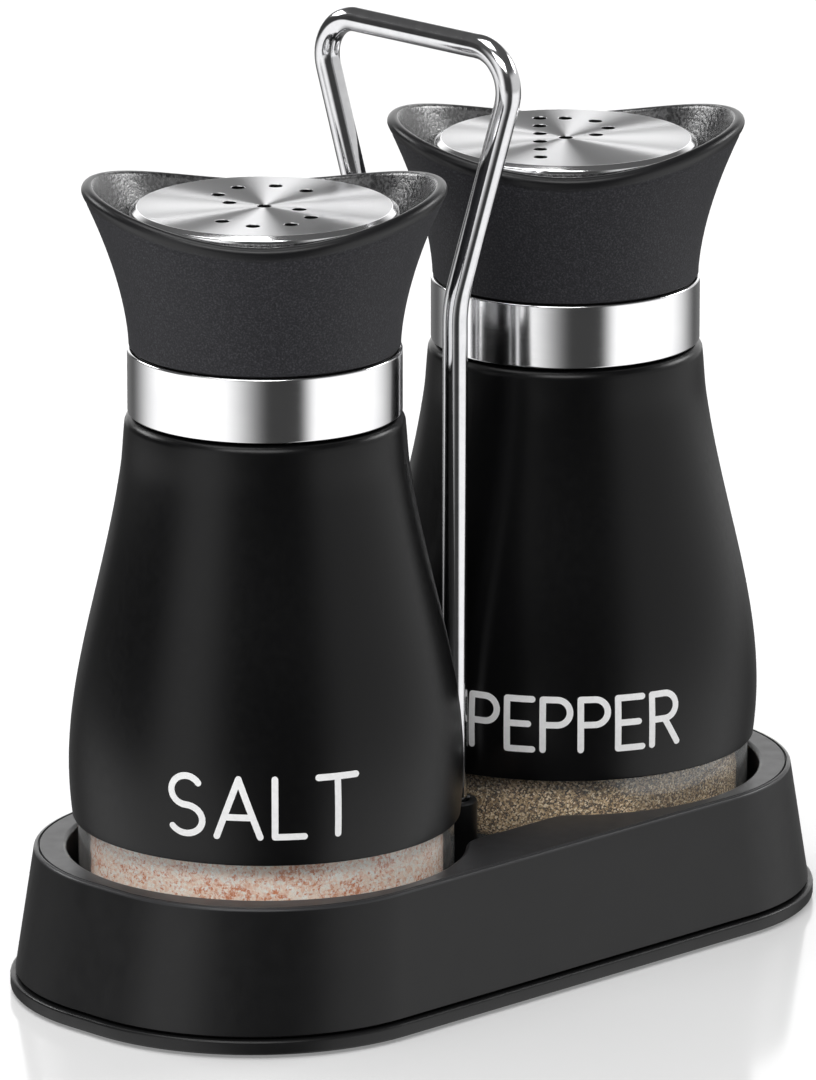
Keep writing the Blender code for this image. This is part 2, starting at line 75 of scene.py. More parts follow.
# Holder
BASE_HALF_LENGTH = node_high("caddy_shell").x
BASE_HALF_WIDTH = node_high("caddy_shell").y
DRAFT_LENGTH = 3.6          # how much the wall leans in over its height, at the ends
DRAFT_WIDTH = 1.8           # and at the sides
END_FLAT = 3.5
WALL_BOTTOM_Z = node_low("caddy_shell").z
DECK_Z = 23.1
RIM_RADIUS = 0.45
GROOVE_INSET = 0.55         # fine groove that runs along the rim of the deck
GROOVE_WIDTH = 0.35
GROOVE_DEPTH = 0.4
SHELL_WALL = 2.2
WELL_RADIUS = 31.4
WELL_WALL = 1.8
WELL_FLOOR_Z = 9.2
WELL_UNDERSIDE_Z = 7.2
WELL_EDGE_FILLET = 0.7
WAIST_HALF_WIDTH = 21.5
WAIST_HALF_LENGTH = 11.0
WAIST_FILLET = 5.0
WAIST_FLOOR_Z = 14.0
PLATE_BOTTOM_Z = node_low("bottom_plate").z
PLATE_TOP_Z = 2.9
PLATE_OVERHANG = node_high("bottom_plate").x - BASE_HALF_LENGTH
RIB_HEIGHT = 1.2
RIB_WIDTH = 1.7
GAP = 0.3
POST_RADIUS = 3.6
POST_BORE = 2.4
POST_BOTTOM_Z = 7.0
POST_TOP_Z = node_high("caddy_shell").z
BOSS_RADIUS = 3.2
PILOT_RADIUS = 1.3

# Handle
WIRE_RADIUS = node_high("handle_wire").x
LEG_Y = node_middle("handle_nut_back").y
LEG_END_Z = node_low("handle_wire").z
LEG_BEND_Z = 106.0
LEG_BEND_RADIUS = 20.0
TOP_Z = node_high("handle_wire").z - WIRE_RADIUS
TOP_HALF_WIDTH = 22.7
TOP_CORNER_RADIUS = 6.5

# Shaker body, as (height, outer radius, slope of the radius)
BODY_KNOTS = ((28.15, 30.45, 0.13), (36.5, 31.0, 0.0), (62.0, 27.2, -0.235),
              (82.0, 22.95, -0.16), (93.0, 21.3, -0.16))
SLEEVE_SHEET = 0.6
SHOULDER_START_Z = 84.0
SHOULDER_SWELL = 0.45
GLASS_WALL = 1.3
BASE_BORE = 28.2             # inner radius of the bottle just above its floor
GLASS_FOOT_Z = node_low("salt_glass_bottle").z
GLASS_FLOOR_Z = 16.0
GLASS_BASE_RADIUS = 29.6
NECK_RADIUS = 17.2
NECK_BORE = 14.6
NECK_BOTTOM_Z = 92.8
NECK_TOP_Z = node_high("salt_glass_bottle").z
FILL_TOP_Z = 75.0

# Cap
THREAD_PITCH = 4.0
THREAD_DEPTH = 1.1
THREAD_TURNS = 1.25
THREAD_START_Z = 97.0
THREAD_STEPS = 48           # facets in one turn of the thread
THREAD_ROOT_DEPTH = 0.7     # how far the ridge's root lies inside the wall
CORE_BORE = 18.9
CORE_SHELF_BORE = 13.5
COLLAR_BOTTOM_Z = node_low("salt_collar").z
COLLAR_BOTTOM_RADIUS = 21.2
COLLAR_BORE = 20.4
COLLAR_FLARE_POWER = 1.65
LIP_RADIUS = 1.0
LIP_CENTRE_RADIUS = (22.8, 27.4)    # at the dips and at the tips of the lip
LIP_CENTRE_Z = (123.7, 128.6)
LIP_BEAD = 1.0              # length of the smooth bead below the lip's middle
LIP_GROOVE_DEPTH = 0.14
WELL_EDGE_RADIUS = (22.0, 24.4)
WELL_EDGE_Z = (122.3, 125.0)
TRENCH_RADIUS = 21.7
TRENCH_FLOOR_Z = 118.6
DISC_RADIUS = 21.0
DISC_Z = node_high("salt_pour_disc").z
DISC_SHEET = 0.6
DISC_SKIRT_Z = node_low("salt_pour_disc").z
HOLE_RADIUS = 1.1
HOLE_LOOP_RADIUS = 6.8
SALT_LOOP_STRETCH = 1.08
SALT_LOOP_STEPS = 5
SALT_LOOP_START = 30.0
PEPPER_LOOP_STEPS = 4
PEPPER_STEM_X = -4.1
PEPPER_STEM_HOLES = 6


# ---------------------------------------------------------------- mesh tools

def skin(rings, wrapped=False):
    """Closed bmesh through rings of points; a ring of one point is a tip.

    The first and last rings are capped, or joined to each other if the body is wrapped.
    """
    bm = bmesh.new()
    rows = [[bm.verts.new(point) for point in ring] for ring in rings]
    sides = max(len(row) for row in rows)
    rows = [row if len(row) > 1 else row * sides for row in rows]
    pairs = list(zip(rows, rows[1:]))
    if wrapped:
        pairs.append((rows[-1], rows[0]))
    for lower, upper in pairs:
        for i in range(sides):
            k = (i + 1) % sides
            bm.faces.new(dict.fromkeys((lower[i], lower[k], upper[k], upper[i])))
    if not wrapped:
        for row in (rows[0], rows[-1]):
            if row[0] is not row[1]:
                bm.faces.new(row)
    return bm


def circle(radius, height, sides, at=(0, 0)):
    if radius == 0:
        return [Vector((*at, height))]
    angles = [2 * math.pi * i / sides for i in range(sides)]
    return [Vector((at[0] + radius * math.cos(a), at[1] + radius * math.sin(a), height))
            for a in angles]


def turned(section, sides=96, at=(0, 0)):
    """Body turned about a vertical axis. A section that starts on the axis is solid."""
    rings = [circle(radius, height, sides, at) for radius, height in section]
    return skin(rings, wrapped=section[0][0] > 0)


def rounded(corners, step=15):
    """Points of an outline whose corners (x, y, fillet radius) are rounded by arcs.

    The outline is closed. A corner with radius 0 stays sharp.
    """
    points = []
    count = len(corners)
    for i, (x, y, radius) in enumerate(corners):
        here = Vector((x, y))
        if radius == 0:
            points.append((x, y))
            continue
        before = (Vector(corners[i - 1][:2]) - here).normalized()
        after = (Vector(corners[(i + 1) % count][:2]) - here).normalized()
        half = before.angle(after) / 2
        centre = here + (before + after).normalized() * radius / math.sin(half)
        start = here + before * radius / math.tan(half) - centre
        turn = start.angle_signed(here + after * radius / math.tan(half) - centre)
        pieces = max(1, round(abs(math.degrees(turn)) / step))
        for k in range(pieces + 1):
            point = centre + Matrix.Rotation(-turn * k / pieces, 2) @ start
            points.append((point.x, point.y))
    return points


def add_object(name, data):
    item = bpy.data.objects.new(name, data)
    bpy.context.scene.collection.objects.link(item)
    return item


def mesh_from(bm, name):
    mesh = bpy.data.meshes.new(name)
    bm.to_mesh(mesh)
    bm.free()
    return mesh


def body(bm):
    """Working object from a closed bmesh, still in millimetres."""
    bmesh.ops.recalc_face_normals(bm, faces=bm.faces)
    return add_object("body", mesh_from(bm, "body"))


def rod(radius, low, high):
    """Section of a plain upright cylinder."""
    return [(0, low), (radius, low), (radius, high), (0, high)]


def turns(*degrees):
    """Sine and cosine of each angle, for the steps of a rounded edge."""
    return [(math.sin(math.radians(angle)), math.cos(math.radians(angle))) for angle in degrees]


def combine(target, tools, operation):
    """Apply a Boolean with each tool in turn and delete the tools."""
    for tool in tools:
        modifier = target.modifiers.new("boolean", "BOOLEAN")
        modifier.operation = operation
        modifier.object = tool
        depsgraph = bpy.context.evaluated_depsgraph_get()
        result = bpy.data.meshes.new_from_object(target.evaluated_get(depsgraph))
        target.modifiers.clear()
        target.data = result
        bpy.data.objects.remove(tool)
    return target


def merged(bodies):
    """One working body from several that stay clear of each other."""
    bm = bmesh.new()
    for item in bodies:
        bm.from_mesh(item.data)
        bpy.data.objects.remove(item)
    return body(bm)


def bmesh_of(item):
    """Bmesh of a working body, which is deleted."""
    bm = bmesh.new()
    bm.from_mesh(item.data)
    bpy.data.objects.remove(item)
    return bm


def shaker_place(flavour):
    """Matrix from a shaker's own frame to the row frame, in millimetres."""
    side = -1 if flavour == "salt" else 1
    turn = Matrix.Rotation(math.radians(SHAKER_YAW), 4, "Z")
    return Matrix.Translation((side * SHAKER_X, 0, 0)) @ turn


def finish_piece(bm, name, material, rides, slot=None, stands_for=(), flavour=None, sharp=35,
                 masks=None):
    """Turn a closed bmesh into a finished piece of the object.

    The attribute "local" keeps each point's place in the piece's own frame, in millimetres, for
    the materials. Masks are more attributes, each a function of that place.
    """
    bmesh.ops.recalc_face_normals(bm, faces=bm.faces)
    mesh = mesh_from(bm, name)
    mesh.shade_smooth()
    mesh.set_sharp_from_angle(angle=math.radians(sharp))
    places = [vertex.co.copy() for vertex in mesh.vertices]
    local = mesh.attributes.new("local", "FLOAT_VECTOR", "POINT")
    local.data.foreach_set("vector", [number for place in places for number in place])
    for mask, value_at in (masks or {}).items():
        attribute = mesh.attributes.new(mask, "FLOAT", "POINT")
        attribute.data.foreach_set("value", [value_at(place) for place in places])
    if flavour:
        mesh.transform(shaker_place(flavour))
    mesh.transform(Matrix.Scale(MM, 4))
    mesh.materials.append(material)
    piece = add_object(name, mesh)
    smoothing = piece.modifiers.new("even_normals", "WEIGHTED_NORMAL")
    smoothing.keep_sharp = True
    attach(piece, rides)
    if stands_for:
        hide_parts(*stands_for)
    return piece


def finish_shaker_piece(bm, flavour, name, material, rides, slot, node, **options):
    """Finished piece of one shaker, in the place of one CAD node."""
    return finish_piece(bm, f"{flavour}_{name}", material, f"{flavour}_{rides}", slot,
                        [f"{flavour}_{node}"], flavour, **options)


# ---------------------------------------------------------------- materials

def add_node(tree, kind, inputs=None, **settings):
    """New shader node; an input takes a value or a link from another node's socket."""
    node = tree.nodes.new(kind)
    for name, value in settings.items():
        setattr(node, name, value)
    for name, value in (inputs or {}).items():
        if isinstance(value, bpy.types.NodeSocket):
            tree.links.new(value, node.inputs[name])
        else:
            node.inputs[name].default_value = value
    return node


def grey(level, blue=None):
    """Colour that is neutral except for its blue part, where that is given."""
    return (level, level, level if blue is None else blue)


class Finish:
    """A Principled material that is built up node by node."""

    def __init__(self, name, colour, roughness, **sockets):
        self.material = bpy.data.materials.new(name)
        self.material.use_nodes = True
        self.tree = self.material.node_tree
        self.shader = self.tree.nodes["Principled BSDF"]
        self.shader.inputs["Base Color"].default_value = (*colour, 1)
        self.shader.inputs["Roughness"].default_value = roughness
        for socket, value in sockets.items():
            self.shader.inputs[socket.replace("_", " ")].default_value = value
        self.place = self.node("ShaderNodeAttribute", attribute_name="local").outputs["Vector"]

    def node(self, kind, inputs=None, **settings):
        return add_node(self.tree, kind, inputs, **settings)

    def mask(self, name):
        return self.node("ShaderNodeAttribute", attribute_name=name).outputs["Fac"]

    def stretched(self, x, y, z):
        """The place in the piece, scaled along each axis."""
        return self.node("ShaderNodeVectorMath", {0: self.place, 1: (x, y, z)},
                         operation="MULTIPLY").outputs[0]

    def noise(self, scale, detail=2.0, roughness=0.5, vector=None):
        """Noise with features of about 1 / scale millimetres."""
        inputs = {"Vector": vector or self.place, "Scale": scale, "Detail": detail,
                  "Roughness": roughness}
        return self.node("ShaderNodeTexNoise", inputs).outputs["Fac"]

    def cells(self, scale, output="Color", randomness=1.0):
        inputs = {"Vector": self.place, "Scale": scale, "Randomness": randomness}
        return self.node("ShaderNodeTexVoronoi", inputs).outputs[output]

    def radius(self):
        """Distance from the piece's own vertical axis."""
        flat = self.stretched(1, 1, 0)
        return self.node("ShaderNodeVectorMath", {0: flat}, operation="LENGTH").outputs["Value"]

    def math(self, operation, a, b=0.0):
        return self.node("ShaderNodeMath", {0: a, 1: b}, operation=operation).outputs[0]

    def span(self, factor, low, high, start=0.3, end=0.7):
        """The factor's range start to end, mapped to low to high."""
        inputs = {"Value": factor, "From Min": start, "From Max": end, "To Min": low,
                  "To Max": high}
        return self.node("ShaderNodeMapRange", inputs).outputs["Result"]

    def ramp(self, factor, *stops):
        node = self.node("ShaderNodeValToRGB", {"Fac": factor})
        elements = node.color_ramp.elements
        while len(elements) < len(stops):
            elements.new(0.5)
        for element, (position, colour) in zip(elements, stops):
            element.position = position
            element.color = (*colour, 1)
        return node.outputs["Color"]

    def mix(self, factor, a, b, blend_type="MIX"):
        a, b = (colour if isinstance(colour, bpy.types.NodeSocket) else (*colour, 1)
                for colour in (a, b))
        return self.node("ShaderNodeMix", {0: factor, 6: a, 7: b}, data_type="RGBA",
                         blend_type=blend_type).outputs[2]

    def colour(self, socket):
        self.tree.links.new(socket, self.shader.inputs["Base Color"])

    def roughness(self, socket):
        self.tree.links.new(socket, self.shader.inputs["Roughness"])

    def bump(self, height, depth_mm, strength=1.0):
        """Bump of a height from 0 to 1, on top of any bump that is there already."""
        node = self.node("ShaderNodeBump", {"Height": height, "Distance": depth_mm * MM,
                                            "Strength": strength})
        socket = self.shader.inputs["Normal"]
        if socket.is_linked:
            self.tree.links.new(socket.links[0].from_socket, node.inputs["Normal"])
        self.tree.links.new(node.outputs["Normal"], socket)


def moulded_plastic(name, level, gloss, grain):
    """Satin black plastic with the fine grain of the mould."""
    finish = Finish(name, grey(level, level * 1.05), gloss, IOR=1.37)
    finish.colour(finish.ramp(finish.noise(0.06, 3), (0.3, grey(level * 0.9, level * 0.95)),
                              (0.7, grey(level * 1.1, level * 1.15))))
    finish.roughness(finish.span(finish.noise(0.35, 4), gloss - 0.03, gloss + 0.04))
    finish.bump(finish.noise(3.2, 3, 0.6), grain)
    return finish.material


def collar_plastic():
    """Grained charcoal plastic; the lip's bead is smoother."""
    finish = Finish("collar_plastic", grey(0.03, 0.035), 0.55, IOR=1.4)
    lip = finish.mask("lip")
    grain = finish.noise(3.4, 2, 0.7)
    tone = finish.ramp(grain, (0.36, grey(0.01, 0.013)), (0.52, grey(0.017, 0.021)),
                       (0.68, grey(0.045, 0.052)))
    finish.colour(finish.mix(lip, tone, grey(0.008, 0.009)))
    finish.roughness(finish.mix(lip, grey(0.6), grey(0.34)))
    rough = finish.math("SUBTRACT", 1.0, finish.math("MULTIPLY", lip, 0.85))
    finish.bump(finish.math("MULTIPLY", grain, rough), 0.09)
    return finish.material


def hammered_painted_sheen_plastic():
    """Glossy black plastic with a hammered grain, on the inside of the collar's lip. Its lighter flecks
    are a painted sheen.
    """
    finish = Finish("hammered_painted_sheen_plastic", grey(0.02, 0.021), 0.2, IOR=2.0)
    grain = finish.noise(1.5, 3, 0.65)
    # The lighter flecks of this ramp are a painted sheen.
    finish.colour(finish.ramp(grain, (0.4, grey(0.014, 0.015)), (0.7, grey(0.1, 0.102))))
    finish.roughness(finish.span(grain, 0.14, 0.26))
    finish.bump(grain, 0.09)
    return finish.material


def inner_plastic():
    finish = Finish("inner_plastic", grey(0.02), 0.5, IOR=1.4)
    finish.roughness(finish.span(finish.noise(0.5, 3), 0.45, 0.6))
    finish.bump(finish.noise(2.5, 2), 0.01)
    return finish.material


def satin_paint():
    """Black powder paint on steel, with a faint orange-peel texture."""
    finish = Finish("satin_paint", grey(0.003, 0.0033), 0.3, IOR=1.34)
    patches = finish.noise(0.05, 2)
    finish.colour(finish.ramp(patches, (0.3, grey(0.0025, 0.0028)), (0.7, grey(0.0035, 0.0038))))
    finish.roughness(finish.span(finish.noise(0.8, 3), 0.28, 0.33))
    finish.bump(finish.noise(1.1, 2), 0.006)
    finish.bump(finish.noise(6.0, 1), 0.003)
    return finish.material


def label_paint():
    finish = Finish("label_paint", grey(0.94), 0.45, IOR=1.45)
    finish.colour(finish.ramp(finish.noise(1.5, 3), (0.3, grey(0.9)), (0.6, grey(0.96))))
    finish.bump(finish.noise(5.0, 2), 0.006)
    return finish.material


def polished_steel():
    """Mirror-polished steel with hair-fine marks that run round the piece."""
    finish = Finish("polished_steel", grey(0.87, 0.88), 0.1, Metallic=1.0)
    marks = finish.noise(1.0, 3, 0.6, vector=finish.stretched(0.25, 0.25, 9))
    finish.roughness(finish.span(marks, 0.11, 0.16))
    finish.colour(finish.ramp(finish.noise(0.12, 2), (0.3, grey(0.84, 0.855)),
                              (0.7, grey(0.9, 0.905))))
    finish.bump(marks, 0.0012)
    return finish.material


def brushed_steel():
    """Steel brushed in circles round its centre."""
    finish = Finish("brushed_steel", grey(0.76, 0.77), 0.4, Metallic=1.0, Anisotropic=1.0,
                    Anisotropic_Rotation=0.25)
    tangent = finish.node("ShaderNodeTangent", direction_type="RADIAL", axis="Z")
    finish.tree.links.new(tangent.outputs[0], finish.shader.inputs["Tangent"])
    radius = finish.radius()
    rings = finish.node("ShaderNodeTexNoise", {"W": radius, "Scale": 9.0, "Detail": 3.0,
                                               "Roughness": 0.7}, noise_dimensions="1D").outputs["Fac"]
    finish.colour(finish.ramp(rings, (0.3, grey(0.55, 0.56)), (0.7, grey(0.67, 0.675))))
    finish.roughness(finish.span(rings, 0.38, 0.43))
    finish.bump(rings, 0.004)
    return finish.material


def painted_hole_shadow():
    """Painted shadow: near-black, rough metal on the walls of the punched holes."""
    finish = Finish("painted_hole_shadow", grey(0.004), 0.85, IOR=1.2)
    finish.roughness(finish.span(finish.noise(3.0, 2), 0.8, 0.9))
    return finish.material


def chrome():
    finish = Finish("chrome", grey(0.9, 0.91), 0.05, Metallic=1.0)
    wear = finish.noise(0.4, 4, 0.6)
    finish.roughness(finish.span(wear, 0.1, 0.15))
    finish.colour(finish.ramp(wear, (0.3, grey(0.66, 0.675)), (0.7, grey(0.74, 0.75))))
    finish.bump(finish.noise(0.5, 2), 0.003)
    return finish.material


def zinc():
    finish = Finish("zinc", (0.55, 0.56, 0.58), 0.35, Metallic=1.0)
    spangle = finish.cells(1.2)
    finish.colour(finish.ramp(finish.node("ShaderNodeSeparateColor", {"Color": spangle}).outputs[0],
                              (0.2, (0.48, 0.49, 0.51)), (0.8, (0.62, 0.63, 0.64))))
    finish.roughness(finish.span(finish.noise(1.5, 3), 0.28, 0.45))
    finish.bump(finish.noise(3.0, 2), 0.008)
    return finish.material


def rubber():
    finish = Finish("rubber", grey(0.02), 0.85)
    dust = finish.noise(0.9, 4, 0.65)
    finish.colour(finish.ramp(dust, (0.4, grey(0.016)), (0.75, grey(0.04, 0.038))))
    finish.bump(finish.noise(4.0, 2), 0.03)
    return finish.material


def silicone():
    finish = Finish("silicone", grey(0.78, 0.76), 0.45, Transmission_Weight=0.25)
    finish.colour(finish.ramp(finish.noise(0.3, 2), (0.3, grey(0.72, 0.7)),
                              (0.7, grey(0.82, 0.8))))
    finish.bump(finish.noise(2.0, 2), 0.01)
    return finish.material


def clear_glass():
    """Clear glass with a slightly wavy surface."""
    finish = Finish("clear_glass", (0.97, 0.985, 0.98), 0.02, IOR=1.5, Transmission_Weight=0.96)
    finish.bump(finish.noise(0.12, 2), 0.03)
    return finish.material


def pink_salt():
    """Fine rock salt: cream and pink grains with clusters of orange-brown ones."""
    finish = Finish("pink_salt_grains", (0.85, 0.62, 0.5), 0.6)
    grain = finish.node("ShaderNodeSeparateColor", {"Color": finish.cells(2.2)}).outputs[0]
    base = finish.ramp(grain, (0.0, (0.92, 0.58, 0.42)), (0.35, (1.0, 0.78, 0.64)),
                       (0.7, (1.0, 0.88, 0.78)), (1.0, (1.0, 0.97, 0.92)))
    cluster = finish.noise(0.16, 3, 0.6)
    fleck = finish.noise(1.5, 3, 0.75)
    amount = finish.math("ADD", fleck, finish.math("MULTIPLY", cluster, 0.55))
    flecks = finish.span(amount, 0.0, 0.95, 0.8, 0.91)
    finish.colour(finish.mix(flecks, base, (0.7, 0.2, 0.06)))
    finish.bump(finish.noise(2.6, 2, 0.6), 0.12)
    return finish.material


def ground_pepper():
    """Ground pepper: dark husks among tan and cream grains."""
    finish = Finish("ground_pepper_grains", (0.25, 0.18, 0.11), 0.8)
    grain = finish.node("ShaderNodeSeparateColor", {"Color": finish.cells(4.0)}).outputs[0]
    base = finish.ramp(grain, (0.0, (0.03, 0.018, 0.01)), (0.3, (0.13, 0.075, 0.035)),
                       (0.55, (0.36, 0.23, 0.11)), (0.8, (0.66, 0.47, 0.27)), (1.0, (0.95, 0.8, 0.58)))
    shade = finish.span(finish.noise(0.14, 2), 0.75, 1.15)
    finish.colour(finish.mix(1.0, base, finish.node("ShaderNodeCombineColor", {
        "Red": shade, "Green": shade, "Blue": shade}).outputs[0], "MULTIPLY"))
    finish.bump(finish.noise(3.4, 2, 0.6), 0.15)
    return finish.material


# ---------------------------------------------------------------- holder

def footprint(half_length, half_width, height, corner_steps=22):
    """Ring of points round the holder's outline: a rectangle with large round corners."""
    radius = half_width - END_FLAT
    points = []
    for quadrant in range(4):
        x_sign = 1 if quadrant in (0, 3) else -1
        y_sign = 1 if quadrant in (0, 1) else -1
        for step in range(corner_steps + 1):
            angle = math.pi / 2 * (quadrant + step / corner_steps)
            x = x_sign * (half_length - radius) + radius * math.cos(angle)
            y = y_sign * (half_width - radius) + radius * math.sin(angle)
            points.append(Vector((x, y, height)))
    return points


def wall_footprint(height, inset=0.0):
    """Outline of the holder's drafted wall at a height, moved inwards by the inset."""
    share = (height - WALL_BOTTOM_Z) / (DECK_Z - WALL_BOTTOM_Z)
    half_length = BASE_HALF_LENGTH - share * DRAFT_LENGTH
    half_width = BASE_HALF_WIDTH - share * DRAFT_WIDTH
    return footprint(half_length - inset, half_width - inset, height)


def opening_outline(height, grow=0.0):
    """Ring round both wells and the waist that joins them, moved outwards by grow."""
    fillet_y = WAIST_HALF_WIDTH + WAIST_FILLET
    reach = WELL_RADIUS + WAIST_FILLET
    fillet_x = SHAKER_X - math.sqrt(reach ** 2 - fillet_y ** 2)
    bend = math.acos((SHAKER_X - fillet_x) / reach)
    points = []

    def arc(centre, radius, start, end, steps):
        for k in range(steps + 1):
            angle = start + (end - start) * k / steps
            points.append(Vector((centre[0] + radius * math.cos(angle),
                                  centre[1] + radius * math.sin(angle), height)))

    well = WELL_RADIUS + grow
    fillet = WAIST_FILLET - grow
    arc((SHAKER_X, 0), well, bend - math.pi, math.pi - bend, 96)
    arc((fillet_x, fillet_y), fillet, -bend, -math.pi / 2, 5)
    arc((-fillet_x, fillet_y), fillet, -math.pi / 2, bend - math.pi, 5)
    arc((-SHAKER_X, 0), well, bend, 2 * math.pi - bend, 96)
    arc((-fillet_x, -fillet_y), fillet, math.pi - bend, math.pi / 2, 5)
    arc((fillet_x, -fillet_y), fillet, math.pi / 2, bend, 5)
    return points


def waist_web():
    """Block between the wells: it fills the waist up to its floor."""
    radius = WELL_RADIUS + 0.05
    half_width = WAIST_HALF_WIDTH + 1.5
    edge = 0.4
    rings = []
    for height, inset in ((WELL_UNDERSIDE_Z + 1, 0), (WAIST_FLOOR_Z - edge, 0),
                          (WAIST_FLOOR_Z - 0.3 * edge, 0.3 * edge), (WAIST_FLOOR_Z, edge)):
        ring = []
        for side in (1, -1):
            for k in range(41):
                y = side * half_width * (k / 20 - 1)
                x = SHAKER_X - math.sqrt((radius + inset) ** 2 - y ** 2)
                ring.append(Vector((side * x, y, height)))
        rings.append(ring)
    return body(skin(rings))


def leg_places():
    return [(0, -LEG_Y), (0, LEG_Y)]


def four(node):
    """Places of the four pieces that a CAD name is numbered for."""
    return [node_middle(f"{node}_{number}").xy for number in (1, 2, 3, 4)]


def box_body(half_x, half_y, low, high):
    corners = ((half_x, half_y), (-half_x, half_y), (-half_x, -half_y), (half_x, -half_y))
    return body(skin([[Vector((x, y, z)) for x, y in corners] for z in (low, high)]))


def make_holder(material, smooth):
    """Holder shell: drafted wall, grooved rim, two wells, waist, posts and screw bosses."""
    low = WALL_BOTTOM_Z
    outer = [wall_footprint(low, 0.25), wall_footprint(low + 0.25)]
    outer += [wall_footprint(low + 1 + (DECK_Z - low - RIM_RADIUS - 1) * k / 5) for k in range(6)]
    for sine, cosine in turns(22.5, 45, 67.5, 90):
        outer.append(wall_footprint(DECK_Z - RIM_RADIUS * (1 - sine), RIM_RADIUS * (1 - cosine)))
    outer.append(wall_footprint(DECK_Z, GROOVE_INSET))
    outer.append(wall_footprint(DECK_Z - GROOVE_DEPTH, GROOVE_INSET + 0.15 * GROOVE_WIDTH))
    outer.append(wall_footprint(DECK_Z - GROOVE_DEPTH, GROOVE_INSET + 0.6 * GROOVE_WIDTH))
    outer.append(wall_footprint(DECK_Z, GROOVE_INSET + GROOVE_WIDTH))
    shell = body(skin(outer))
    cavity = [wall_footprint(low - 1, SHELL_WALL), wall_footprint(DECK_Z - SHELL_WALL, SHELL_WALL)]
    combine(shell, [body(skin(cavity))], "DIFFERENCE")

    inside_deck_z = DECK_Z - SHELL_WALL / 2
    inner = [box_body(WAIST_HALF_LENGTH + WELL_WALL, WAIST_HALF_WIDTH + WELL_WALL,
                      WELL_UNDERSIDE_Z + 1.3, inside_deck_z)]
    for side in (-1, 1):
        cup = rod(WELL_RADIUS + WELL_WALL, WELL_UNDERSIDE_Z, inside_deck_z)
        inner.append(body(turned(cup, 96, (side * SHAKER_X, 0))))
    boss = rod(BOSS_RADIUS, PLATE_TOP_Z + GAP, inside_deck_z)
    inner.append(merged([body(turned(boss, 32, place)) for place in four("base_screw")]))
    combine(shell, inner, "UNION")

    fillet = WELL_EDGE_FILLET
    rings = [opening_outline(WELL_FLOOR_Z), opening_outline(DECK_Z - fillet - 1),
             opening_outline(DECK_Z - fillet)]
    for sine, cosine in turns(22.5, 45, 67.5, 85):
        rings.append(opening_outline(DECK_Z - fillet * (1 - sine), fillet * (1 - cosine)))
    rings.append(opening_outline(DECK_Z + 1, fillet))
    combine(shell, [body(skin(rings))], "DIFFERENCE")
    combine(shell, [waist_web()], "UNION")

    edge = 0.45
    post = rounded([(0, POST_BOTTOM_Z, 0), (POST_RADIUS, POST_BOTTOM_Z, 0),
                    (POST_RADIUS, POST_TOP_Z, edge), (0, POST_TOP_Z, 0)])
    combine(shell, [merged([body(turned(post, 48, place)) for place in leg_places()])], "UNION")
    bore = [(0, 0), (POST_BORE, 0), (POST_BORE, POST_TOP_Z - 0.3), (POST_BORE + 0.4, POST_TOP_Z + 0.1),
            (0, POST_TOP_Z + 0.1)]
    cuts = [body(turned(bore, 48, place)) for place in leg_places()]
    cuts += [body(turned(rod(PILOT_RADIUS, 0, 12), 24, place)) for place in four("base_screw")]
    combine(shell, [merged(cuts)], "DIFFERENCE")
    bm = bmesh_of(shell)
    # Faces on the deck and its rim take the second plastic, which is smoother and lighter; its lighter
    # colour is a painted sheen.
    painted_sheen_above = DECK_Z - RIM_RADIUS - 0.02
    for face in bm.faces:
        face.material_index = int(min(vertex.co.z for vertex in face.verts) > painted_sheen_above)
    piece = finish_piece(bm, "holder_shell", material, "caddy", "holder_plastic", ["caddy_shell"])
    piece.data.materials.append(smooth)


def make_base_plate(material):
    """Plate under the holder, with a rib inside the wall and seats for pads and screws."""
    edge = 0.45
    rings = []
    steps = turns(0, 30, 60, 90)
    edges = [(1 - sine, PLATE_BOTTOM_Z + edge * (1 - cosine)) for sine, cosine in steps]
    edges += [(1 - cosine, PLATE_TOP_Z - edge * (1 - sine)) for sine, cosine in steps]
    for share, height in edges:
        grow = PLATE_OVERHANG - edge * share
        rings.append(footprint(BASE_HALF_LENGTH + grow, BASE_HALF_WIDTH + grow, height))
    plate = body(skin(rings))
    outer = SHELL_WALL + 2 * GAP
    ribs = []
    for inset, low, high in ((outer, PLATE_TOP_Z - 1, PLATE_TOP_Z + RIB_HEIGHT),
                             (outer + RIB_WIDTH, PLATE_TOP_Z, PLATE_TOP_Z + RIB_HEIGHT + 1)):
        ribs.append(body(skin([footprint(BASE_HALF_LENGTH - inset, BASE_HALF_WIDTH - inset, z)
                               for z in (low, high)])))
    combine(ribs[0], [ribs[1]], "DIFFERENCE")
    combine(plate, [ribs[0]], "UNION")

    pad_top = node_high("foot_pad_1").z + GAP
    seat = rod(node_radius("foot_pad_1") + GAP, 0, pad_top)
    head_room = node_radius("base_screw_1") + GAP
    head_z = PLATE_BOTTOM_Z + 1.4
    hole = [(0, 0), (head_room, 0), (head_room, head_z), (PILOT_RADIUS + 0.1, head_z),
            (PILOT_RADIUS + 0.1, PLATE_TOP_Z + 1), (0, PLATE_TOP_Z + 1)]
    cuts = [body(turned(seat, 64, place)) for place in four("foot_pad")]
    cuts += [body(turned(hole, 32, place)) for place in four("base_screw")]
    combine(plate, [merged(cuts)], "DIFFERENCE")
    finish_piece(bmesh_of(plate), "holder_base_plate", material, "caddy", "holder_plastic",
                 ["bottom_plate"])


def make_feet(material):
    low, high = node_low("foot_pad_1").z, node_high("foot_pad_1").z
    radius = node_radius("foot_pad_1")
    section = rounded([(0, low, 0), (radius, low, 0.35), (radius, high, 0.2), (0, high, 0)], 22.5)
    for number, place in enumerate(four("foot_pad"), 1):
        finish_piece(turned(section, 64, place), f"holder_foot_{number}", material, "caddy",
                     "foot_rubber", [f"foot_pad_{number}"])


